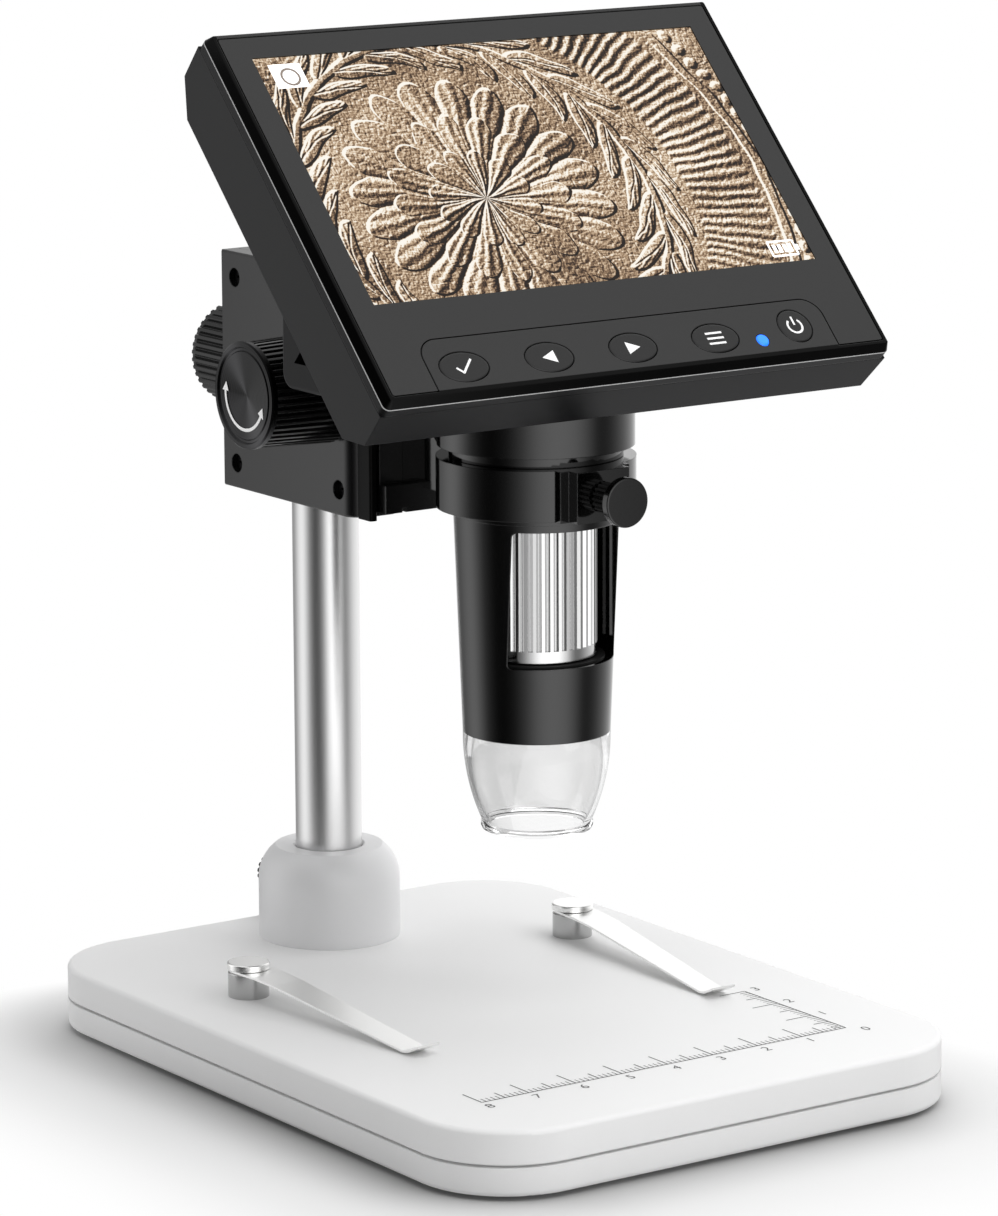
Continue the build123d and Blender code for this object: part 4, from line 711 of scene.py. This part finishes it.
@dataclass
class FocusStage(Assembly):
    """Block on the column, rack and pinion, knobs, carriage and ring."""

    arrow_radius: float = 6.3
    arrow_width: float = 0.6
    arrow_head: float = 1.0
    # Ends of the arrow's stem and length of a head, in degrees round the cap.
    arrow_ends: Point2 = (178.0, 330.0)
    arrow_tip: float = 16.0
    dish_edge_mm: float = 0.165

    def build(self) -> None:
        """Dress the focusing stage and print the turning arrows on its knobs."""
        self.dress(BLASTED_ANODISED, "focus_block", "side_covers")
        self.dress(SCREW_PAINTED_HOLE_SHADE, "cover_screws")
        self.dress(ZINC_STEEL, "lock_stud", "pinion_shaft", "arm_screws", "ring_screw")
        self.dress(TURNED_BRASS, "shaft_bushes", "lock_pad", "rack")
        self.dress(GROUND_ANODISED, "gib_strips")
        self.dress(SMOOTH_ANODISED, "carriage_plate")
        self.dress(GLOSS_ABS, "ring_arm")
        self.dress(KNOB_ABS, "lock_knob", "focus_knobs", "ring_screw_knob")
        self.dress(KNOB_CAP, "knob_faces")
        low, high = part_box("knob_faces")
        for name, face, way in (("left_knob_arrow", low, -1), ("right_knob_arrow", high, 1)):
            face_x = face.x / MM - way * self.dish_edge_mm
            self.arrow(name, Sheet((face_x, *KNOB_AXIS), (0, way, 0), (0, 0, 1)))

    def arrow(self, name: str, sheet: Sheet) -> None:
        """Print a two-headed curved arrow round a knob's cap.

        Args:
            name: The piece's name.
            sheet: The cap's face.
        """
        mark = Print(name, sheet, 0.0)
        middle, head = self.arrow_radius, self.arrow_head
        mark.arc((0, 0), middle, *self.arrow_ends, self.arrow_width)
        for end, way in zip(self.arrow_ends, (-1, 1)):
            foot, tip = math.radians(end), math.radians(end + way * self.arrow_tip)
            corners = ((middle - head, foot), (middle + head, foot), (middle, tip))
            points = [(radius * math.cos(turn), radius * math.sin(turn)) for radius, turn in corners]
            mark.polygon(points if way > 0 else points[::-1])
        mark.place(self.material(PAINTED_GLOW_WHITE_INK), "focus_drive", "knob_cap_metal")


@dataclass
class OpticalHead(Assembly):
    """Lens barrel with its wheel, lens, lights and clear hood."""

    def build(self) -> None:
        """Dress the optical head."""
        self.dress(GLOSS_ABS, "barrel", "neck_collar")
        self.dress(MATTE_ABS, "guide_tube", "lens_cell")
        self.dress(WHEEL_CHROME, "focus_wheel")
        self.dress(COATED_LENS, "objective_lens")
        self.dress(BOARD, "led_board", "sensor_board")
        self.dress(LED_WHITE, "ring_leds")
        self.dress(CLEAR_ACRYLIC, "clear_hood")


@dataclass(frozen=True)
class ReliefPicture:
    """What the display shows: struck metal close up, with a rosette, a wreath, rays and a beaded rim."""

    sheet: Sheet
    name: str = "lit_display_behind_coated_glass"
    centre: Point2 = (-15.0, -7.0)
    petals: tuple[tuple[float, int, float, float], ...] = (
        (27.0, 20, 0.0, 5.0), (19.0, 16, 0.5, 4.0), (11.5, 12, 0.0, 3.0)
    )
    wreath_radius: float = 35.5
    wreath_half: float = 6.5
    leaves: int = 26
    rays: int = 150
    rim_radius: float = 61.0
    beads: int = 118
    # Heights of the forms, and how far the drawing wanders from true circles.
    stem_height: float = 2.6
    leaf_height: float = 2.2
    rim_height: float = 2.2
    bead_height: float = 2.4
    ray_height: float = 0.55
    crinkle_height: float = 0.22
    grit_height: float = 1.9
    wander: float = 2.6
    # Step to the point that each height is compared with, which gives the light's side.
    light: Point3 = (-0.20, 0.24, 0.0)
    contrast: float = 0.95
    glow: float = 0.96
    shades: tuple[tuple[float, str], ...] = (
        (0.0, "1A110B"), (0.22, "4A3526"), (0.42, "8F7357"), (0.56, "BFA283"), (0.72, "E8D3B6"), (0.88, "FFFAF0")
    )

    def height_group(self) -> Tree:
        """Make the group that gives the relief's height at a point of the picture.

        Returns:
            The node group, from a vector in millimetres to a height.
        """
        tree = bpy.data.node_groups.new("struck_metal_height", "ShaderNodeTree")
        tree.interface.new_socket("Point", in_out="INPUT", socket_type="NodeSocketVector")
        tree.interface.new_socket("Height", in_out="OUTPUT", socket_type="NodeSocketFloat")
        entry = tree.nodes.new("NodeGroupInput").outputs[0]
        wobble = add_node(tree, "TexNoise", {"Vector": entry, "Scale": 0.10, "Detail": 1.0}, "Color")
        bent = vector(tree, "MULTIPLY_ADD", wobble, (self.wander, self.wander, 0.0), entry)
        arm = vector(tree, "SUBTRACT", bent, (*(c + self.wander / 2 for c in self.centre), 0.0))
        reach = vector(tree, "LENGTH", arm)
        turn = angle(tree, arm, "X", "Y")
        height = calc(tree, "MAXIMUM", self.rosette(tree, reach, turn), self.wreath(tree, reach, turn))
        height = calc(tree, "ADD", height, self.rim(tree, reach, turn))
        crinkle = add_node(tree, "TexVoronoi", {"Vector": bent, "Scale": 0.62}, feature="DISTANCE_TO_EDGE")
        height = calc(tree, "ADD", height, spread(tree, crinkle, (0.0, 0.16), (0.0, self.crinkle_height)))
        grit = {"Vector": entry, "Scale": 1.2, "Detail": 5.0, "Roughness": 0.72}
        height = calc(tree, "MULTIPLY_ADD", add_node(tree, "TexNoise", grit, "Fac"), self.grit_height, height)
        tree.links.new(height, tree.nodes.new("NodeGroupOutput").inputs[0])
        return tree

    def rosette(self, tree: Tree, reach: Socket, turn: Socket) -> Socket:
        """Add the rosette: rings of ribbed petals that overlap like scales.

        Args:
            tree: The node tree.
            reach: Distance from the middle.
            turn: Angle round it.

        Returns:
            Its height.
        """
        height: object = 0.0
        for level, (edge_at, count, shift, point) in enumerate(self.petals, start=1):
            across = calc(tree, "MULTIPLY_ADD", cell(tree, turn, count, shift), 2.0, -1.0)
            square = calc(tree, "MULTIPLY", across, across)
            edge = calc(tree, "MULTIPLY_ADD", square, -point, edge_at)
            mask = spread(tree, calc(tree, "SUBTRACT", edge, reach), (0.0, 0.7), smooth=True)
            crown = calc(tree, "MULTIPLY_ADD", square, -2.2, 1.1 * level + 1.6)
            rib = calc(tree, "COSINE", calc(tree, "MULTIPLY", across, 9.4))
            top = calc(tree, "MULTIPLY_ADD", rib, 0.34, crown)
            height = calc(tree, "MAXIMUM", calc(tree, "MULTIPLY", top, mask), height)
        return height

    def wreath(self, tree: Tree, reach: Socket, turn: Socket) -> Socket:
        """Add a wreath: two rows of slanted, pointed leaves on one stem.

        Args:
            tree: The node tree.
            reach: Distance from the middle.
            turn: Angle round it.

        Returns:
            Its height.
        """
        off = calc(tree, "SUBTRACT", reach, self.wreath_radius)
        aside = calc(tree, "ABSOLUTE", off)
        span = calc(tree, "MULTIPLY", aside, 1 / self.wreath_half)
        stagger = calc(tree, "MULTIPLY_ADD", calc(tree, "SIGN", off), 0.25, calc(tree, "MULTIPLY", span, -1.5))
        across = calc(tree, "ABSOLUTE", calc(tree, "SUBTRACT", cell(tree, turn, self.leaves, stagger), 0.5))
        bow = calc(tree, "MULTIPLY", span, calc(tree, "SUBTRACT", 1.0, span))
        inside = calc(tree, "MULTIPLY_ADD", bow, 1.9, calc(tree, "MULTIPLY", across, -1.0))
        mask = spread(tree, inside, (0.0, 0.10), smooth=True)
        midrib = spread(tree, across, (0.0, 0.07), (-0.9, 0.0))
        veins = calc(tree, "MULTIPLY_ADD", span, 26.0, calc(tree, "MULTIPLY", across, -16.0))
        vein = calc(tree, "MULTIPLY_ADD", calc(tree, "SINE", veins), 0.2, midrib)
        top = calc(tree, "ADD", calc(tree, "MULTIPLY_ADD", inside, 2.4, self.leaf_height), vein)
        stem = spread(tree, aside, (1.0, 0.4), (0.0, self.stem_height), smooth=True)
        return calc(tree, "MAXIMUM", calc(tree, "MULTIPLY", top, mask), stem)

    def rim(self, tree: Tree, reach: Socket, turn: Socket) -> Socket:
        """Add the field's fine rays, the raised rim and its row of beads.

        Args:
            tree: The node tree.
            reach: Distance from the middle.
            turn: Angle round it.

        Returns:
            Their height.
        """
        wave = calc(tree, "SINE", calc(tree, "MULTIPLY", turn, float(self.rays)))
        start, stop = self.wreath_radius + self.wreath_half + 1.5, self.rim_radius - 2.6
        rise, fall = (spread(tree, reach, (at, at + fade)) for at, fade in ((start, 0.5), (stop, -0.5)))
        rays = calc(tree, "MULTIPLY", wave, calc(tree, "MULTIPLY", rise, fall))
        off = calc(tree, "SUBTRACT", reach, self.rim_radius)
        band = spread(tree, calc(tree, "ABSOLUTE", off), (1.3, 0.7), (0.0, self.rim_height), smooth=True)
        both = calc(tree, "MULTIPLY_ADD", rays, self.ray_height, band)
        across = calc(tree, "MULTIPLY_ADD", cell(tree, turn, self.beads), 2.0, -1.0)
        deep = calc(tree, "MULTIPLY", calc(tree, "SUBTRACT", off, 3.2), 0.62)
        square = calc(tree, "MULTIPLY", across, across)
        round_off = calc(tree, "MULTIPLY_ADD", deep, deep, square)
        bead = spread(tree, round_off, (0.75, 0.05), (0.0, self.bead_height), smooth=True)
        return calc(tree, "ADD", both, bead)

    def shader(self, tree: Tree) -> Socket:
        """Add the lit picture: a glow behind coated glass.

        Args:
            tree: The node tree.

        Returns:
            The shader.
        """
        local = vector(tree, "SUBTRACT", surface_point(tree), tuple(c * MM for c in self.sheet.origin))
        u, v = (
            vector(tree, "DOT_PRODUCT", local, tuple(c / MM for c in axis))
            for axis in (self.sheet.right, self.sheet.up)
        )
        point = add_node(tree, "CombineXYZ", {"X": u, "Y": v})
        group = self.height_group()
        here, there = (
            add_node(tree, "Group", {"Point": at}, "Height", node_tree=group)
            for at in (point, vector(tree, "ADD", point, self.light))
        )
        patches = add_node(tree, "TexNoise", {"Vector": point, "Scale": 0.055, "Detail": 2.0}, "Fac")
        level = spread(tree, patches, (0.3, 0.7), (0.32, 0.64))
        tone = calc(tree, "MULTIPLY_ADD", calc(tree, "SUBTRACT", here, there), self.contrast, level)
        colour = ramp(tree, tone, [(at, linear(shade)) for at, shade in self.shades])
        glass = {"Base Color": linear("040404"), "Roughness": 0.15, "Specular IOR Level": 0.18,
                 "Emission Color": colour, "Emission Strength": self.glow}
        return add_node(tree, "BsdfPrincipled", glass)


@dataclass
class DisplayHead(Assembly):
    """Tilted housing with its picture, overlay and keys."""

    keys: tuple[tuple[str, Point2], ...] = (
        ("confirm", (-36.1, -41.6)), ("left", (-18.35, -41.6)), ("right", (-0.5, -41.6)), ("menu", (17.4, -41.6)),
        ("power", (35.4, -40.9)),
    )
    line: float = 0.42
    mark_place: Point3 = (-40.0, 1.45, 135.0)

    def sheet(self, lift: float = 0.0) -> Sheet:
        """Return the display's face.

        Args:
            lift: Height in front of the face, in millimetres.

        Returns:
            The face, with its origin at the middle of the picture.
        """
        a = math.radians(FACE_LEAN)
        x, y, z = FACE_MIDDLE
        return Sheet((x, y - lift * math.cos(a), z + lift * math.sin(a)), (1, 0, 0), (0, math.sin(a), math.cos(a)))

    def build(self) -> None:
        """Dress the display head and print its keys."""
        self.dress(HOUSING_ABS, "rear_housing")
        self.dress(BEZEL_ABS, "front_bezel")
        self.dress(PANEL_PRINT, "front_panel")
        self.dress(MODULE_FRAME, "display_module")
        self.dress(BOARD, "main_board", "key_board")
        self.dress(CELL_WRAP, "battery")
        self.dress(ZINC_STEEL, "usb_socket", "card_socket", "case_screws")
        self.dress(BLACK_NYLON, "key_switches")
        self.dress(BLUE_LED, "status_led")
        self.dress(KEY_ABS, *("button_" + key for key, _ in self.keys))
        self.dress(ReliefPicture(self.sheet()), "display_glass")
        self.legends()
        self.overlay()
        self.housing_mark()

    def legends(self) -> None:
        """Print a plain sign on each key."""
        strokes = {
            "confirm": [((-1.7, -0.1), (-0.5, -1.3)), ((-0.65, -1.3), (1.9, 1.4))],
            "menu": [((-1.8, row), (1.8, row)) for row in (-1.1, 0.0, 1.1)],
            "power": [((0.0, 0.2), (0.0, 2.0))],
        }
        heads = {"left": [(1.3, 1.3), (-1.5, 0.0), (1.3, -1.3)], "right": [(-1.3, -1.3), (1.5, 0.0), (-1.3, 1.3)]}
        for key, middle in self.keys:
            sign, centre = Print(key + "_sign", self.sheet(0.05)), Vector(middle)
            if key in heads:
                sign.polygon([centre + Vector(corner) for corner in heads[key]])
            if key == "power":
                sign.arc(middle, 1.5, 130, 410, self.line)
            for start, end in strokes.get(key, ()):
                sign.line(centre + Vector(start), centre + Vector(end), self.line)
            sign.place(self.material(PAINTED_GLOW_WHITE_INK), "key_" + key, "key_plastic")

    def overlay(self) -> None:
        """Add the camera and battery signs that the display shows over its picture."""
        face = self.sheet(-0.1)
        badge = Print("picture_badge", face, 0.02)
        badge.block((-45.2, 20.1), (-38.7, 25.4))
        left, right, low, high = 39.0, 44.6, -25.6, -22.4
        corners = [(left, low), (right, low), (right, high), (left, high)]
        for start, end in zip(corners, corners[1:] + corners[:1]):
            badge.line(start, end, 0.4)
        for bar in range(4):
            start = left + 0.7 + bar * 1.15
            badge.block((start, low + 0.7), (start + 0.75, high - 0.7))
        badge.block((right + 0.2, -24.6), (right + 0.8, -23.4))
        badge.place(self.material(PICTURE_WHITE), "head", "display")
        lens = Print("picture_badge_ring", face, 0.04)
        lens.arc((-41.7, 22.5), 1.75, 0, 360, 0.5)
        lens.place(self.material(PICTURE_DARK), "head", "display")

    def housing_mark(self) -> None:
        """Print the small triangle on the left of the electronics box."""
        mark = Print("housing_mark", Sheet(self.mark_place, (0, -1, 0), (0, 0, 1)), 0.02)
        mark.polygon([(-1.9, -1.0), (1.9, -1.0), (0.1, 1.2)])
        mark.place(self.material(BLACK_INK), "head", "housing_plastic")


# -------------------- studio
@dataclass
class Studio:
    """White floor, soft boxes, a ring of reflected cards and the camera."""

    # The camera: bearing, tilt and roll in degrees, distance and aim in millimetres, and the lens.
    azimuth: float = -34.873
    elevation: float = 11.579
    roll: float = -0.247
    distance: float = 1010.31
    aim: Point3 = (0.912, 83.02, 0.8)
    lens: float = 161.51
    # Strength of the surround's light, and of what the floor adds to its own shade.
    ambient: float = 0.33
    floor_glow: float = 0.02
    lamp_aim: Point3 = (0.0, 0.0, 0.09)
    floor_half: float = 6.0
    floor_tone: str = "E6E6E6"
    # Colour of the painted shadow next to the foot.
    core_tone: str = "969696"
    # The shadow's outline: the foot with this corner radius, then a painted dark core and a fade, in metres.
    foot_round: float = 0.024
    shadow_core: float = 0.021
    core_power: float = 2.4
    shadow_near: float = 0.006
    shadow_far: float = 0.052
    # Where it falls, over what distance it comes in, and the fade's share that is left on the far side.
    shadow_way: Point3 = (-0.75, -0.66, 0.0)
    shadow_start: Point2 = (-0.035, 0.025)
    shadow_rest: float = 0.4
    card_radius: float = 0.20
    card_height: float = 0.24
    card_shift: float = 0.01
    card_peak: float = 2.2
    # Bearing from the camera's side in degrees, and share of the peak brightness there.
    cards: tuple[Point2, ...] = (
        (-180, 0.53), (-162, 0.26), (-140, 0.06), (-118, 0.42), (-100, 0.68), (-86, 0.40), (-74, 0.14), (-56, 0.0),
        (-30, 0.03), (-12, 0.28), (4, 0.76), (22, 1.0), (42, 0.84), (56, 0.48), (70, 0.06), (88, 0.14), (104, 0.30),
        (124, 0.46), (150, 0.56), (180, 0.53),
    )

    def camera(self) -> None:
        """Set the camera at the viewing angle."""
        a, e, r = (math.radians(x) for x in (self.azimuth, self.elevation, self.roll))
        back = Vector((math.sin(a) * math.cos(e), -math.cos(a) * math.cos(e), math.sin(e)))
        level = Vector((math.cos(a), math.sin(a), 0.0))
        right = level * math.cos(r) + back.cross(level) * math.sin(r)
        up = back.cross(right)
        aim = right * self.aim[0] + up * self.aim[1] + Vector((0, 0, self.aim[2]))
        place = (aim + back * self.distance) * MM
        lens = bpy.data.cameras.new("camera")
        lens.lens = self.lens
        camera = new_object("camera", lens)
        camera.matrix_world = Matrix.Translation(place) @ Matrix((right, up, back)).transposed().to_4x4()
        bpy.context.scene.camera = camera

    def soft_box(self, name: str, place: Point3, size: Point2, watts: float) -> None:
        """Add one rectangular light that faces the object and is itself not reflected.

        Args:
            name: Its name.
            place: Where it stands, in metres.
            size: Width and height in metres.
            watts: Its power.
        """
        lamp = bpy.data.lights.new(name, "AREA")
        lamp.shape = "RECTANGLE"
        lamp.size, lamp.size_y = size
        lamp.energy = watts
        holder = new_object(name, lamp)
        way = (Vector(self.lamp_aim) - Vector(place)).to_track_quat("-Z", "Y")
        holder.matrix_world = Matrix.Translation(place) @ way.to_matrix().to_4x4()
        holder.visible_glossy = False

    def lights(self) -> None:
        """Place the soft boxes: a wide one overhead, a weak one at the front right and two behind."""
        self.soft_box("overhead", (0.24, -0.22, 1.10), (1.6, 1.6), 14.5)
        self.soft_box("front_right", (0.55, -1.05, 0.60), (0.6, 0.7), 2.2)
        self.soft_box("back_left", (-0.80, 0.85, 0.60), (0.5, 0.7), 1.6)
        self.soft_box("back_right", (0.90, 0.90, 0.60), (0.6, 0.8), 2.4)

    def seen(self, tree: Tree) -> tuple[Socket, Socket]:
        """Return 1 where the camera looks straight or through glass, and 1 where a reflection does."""
        rays = add_node(tree, "LightPath").node.outputs
        return calc(tree, "MAXIMUM", rays["Is Camera Ray"], rays["Is Transmission Ray"]), rays["Is Glossy Ray"]

    def world(self) -> None:
        """Make a white surround that lights the object at a plain level."""
        world = bpy.data.worlds.new("surround")
        world.use_nodes = True
        tree = world.node_tree
        tree.nodes.clear()
        plain, bright = (add_node(tree, "Background", {"Color": WHITE, "Strength": s}) for s in (self.ambient, 1.0))
        mix = add_node(tree, "MixShader", {"Fac": calc(tree, "MAXIMUM", *self.seen(tree)), 1: plain, 2: bright})
        add_node(tree, "OutputWorld", {"Surface": mix})
        bpy.context.scene.world = world

    def paper(self, tree: Tree) -> Socket:
        """Add the floor's shader: white everywhere, with the object's shadow kept close to it and a painted shadow
        darkening the floor next to the foot.

        Args:
            tree: The node tree.

        Returns:
            The shader.
        """
        look, mirror = self.seen(tree)
        low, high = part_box("base_bottom_shell")
        middle, half, foot = (low + high) / 2, (high - low) / 2, self.foot_round
        off = vector(tree, "SUBTRACT", surface_point(tree), (middle.x, middle.y, 0.0))
        past = vector(tree, "SUBTRACT", vector(tree, "ABSOLUTE", off), (half.x - foot, half.y - foot, 0.0))
        reach = vector(tree, "LENGTH", vector(tree, "MAXIMUM", past, (0.0, 0.0, 0.0)))
        front = spread(tree, vector(tree, "DOT_PRODUCT", off, self.shadow_way), self.shadow_start)
        rest = self.shadow_far * self.shadow_rest
        end = calc(tree, "MULTIPLY_ADD", front, self.shadow_far * (1 - self.shadow_rest), foot + rest)
        away = spread(tree, reach, (foot + self.shadow_near, end), smooth=True)
        cover = calc(tree, "MAXIMUM", calc(tree, "MULTIPLY", look, away), mirror)
        # Painted shadow: the floor's colour darkens towards the foot, on the front and left.
        painted_shadow = calc(tree, "POWER", spread(tree, reach, (foot + self.shadow_core, foot)), self.core_power)
        painted_shadow = calc(tree, "MULTIPLY", painted_shadow, front)
        sheet = {"Color": blend(tree, painted_shadow, linear(self.floor_tone), linear(self.core_tone))}
        glow = {"Color": WHITE, "Strength": calc(tree, "MULTIPLY", look, self.floor_glow)}
        near = {0: add_node(tree, "BsdfDiffuse", sheet), 1: add_node(tree, "Emission", glow)}
        beyond = {"Color": blend(tree, mirror, WHITE, self.card_level(tree)),
                  "Strength": calc(tree, "MULTIPLY_ADD", mirror, self.card_peak - 1.0, 1.0)}
        parts = {"Fac": cover, 1: add_node(tree, "AddShader", near), 2: add_node(tree, "Emission", beyond)}
        return add_node(tree, "MixShader", parts)

    def card_level(self, tree: Tree) -> Socket:
        """Give the cards' brightness at a point's bearing from the middle of the studio.

        Args:
            tree: The node tree.

        Returns:
            The share of the peak as a grey.
        """
        start = math.radians(self.azimuth - 90)
        bearing = cell(tree, angle(tree, surface_point(tree), "Y", "X"), 1, 0.5 - start / (2 * math.pi))
        stops = [(0.5 + degrees / 360, (share, share, share, 1.0)) for degrees, share in self.cards]
        return ramp(tree, bearing, stops, smooth=True)

    def card_glow(self, tree: Tree) -> Socket:
        """Add the reflected cards' light, bright and dark by bearing."""
        return add_node(tree, "Emission", {"Color": self.card_level(tree), "Strength": self.card_peak})

    def build(self) -> None:
        """Build the whole studio."""
        self.camera()
        self.lights()
        self.world()
        grid = bmesh.new()
        bmesh.ops.create_grid(grid, x_segments=1, y_segments=1, size=self.floor_half)
        floor = mesh_object("floor", grid, new_material("white_paper_sweep", self.paper))
        cards = bmesh.new()
        bmesh.ops.create_cone(cards, segments=96, radius1=self.card_radius, radius2=self.card_radius,
                              depth=self.card_height, cap_ends=False)
        bmesh.ops.translate(cards, verts=cards.verts, vec=(0.0, self.card_shift, self.card_height / 2 + MM))
        ring = mesh_object("studio_cards", cards, new_material("studio_cards", self.card_glow))
        for ray in ("camera", "diffuse", "transmission", "volume_scatter", "shadow"):
            setattr(ring, "visible_" + ray, False)
        bpy.context.scene.view_settings.view_transform = "Standard"


def main() -> None:
    """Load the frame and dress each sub-assembly in turn."""
    logging.basicConfig(level=logging.INFO, format="%(name)s %(message)s")
    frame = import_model()
    shelf: dict[str, Material] = {}
    Studio().build()
    for part in (Stand, FocusStage, OpticalHead, DisplayHead):
        part(frame, shelf).build()


if __name__ == "__main__":
    main()
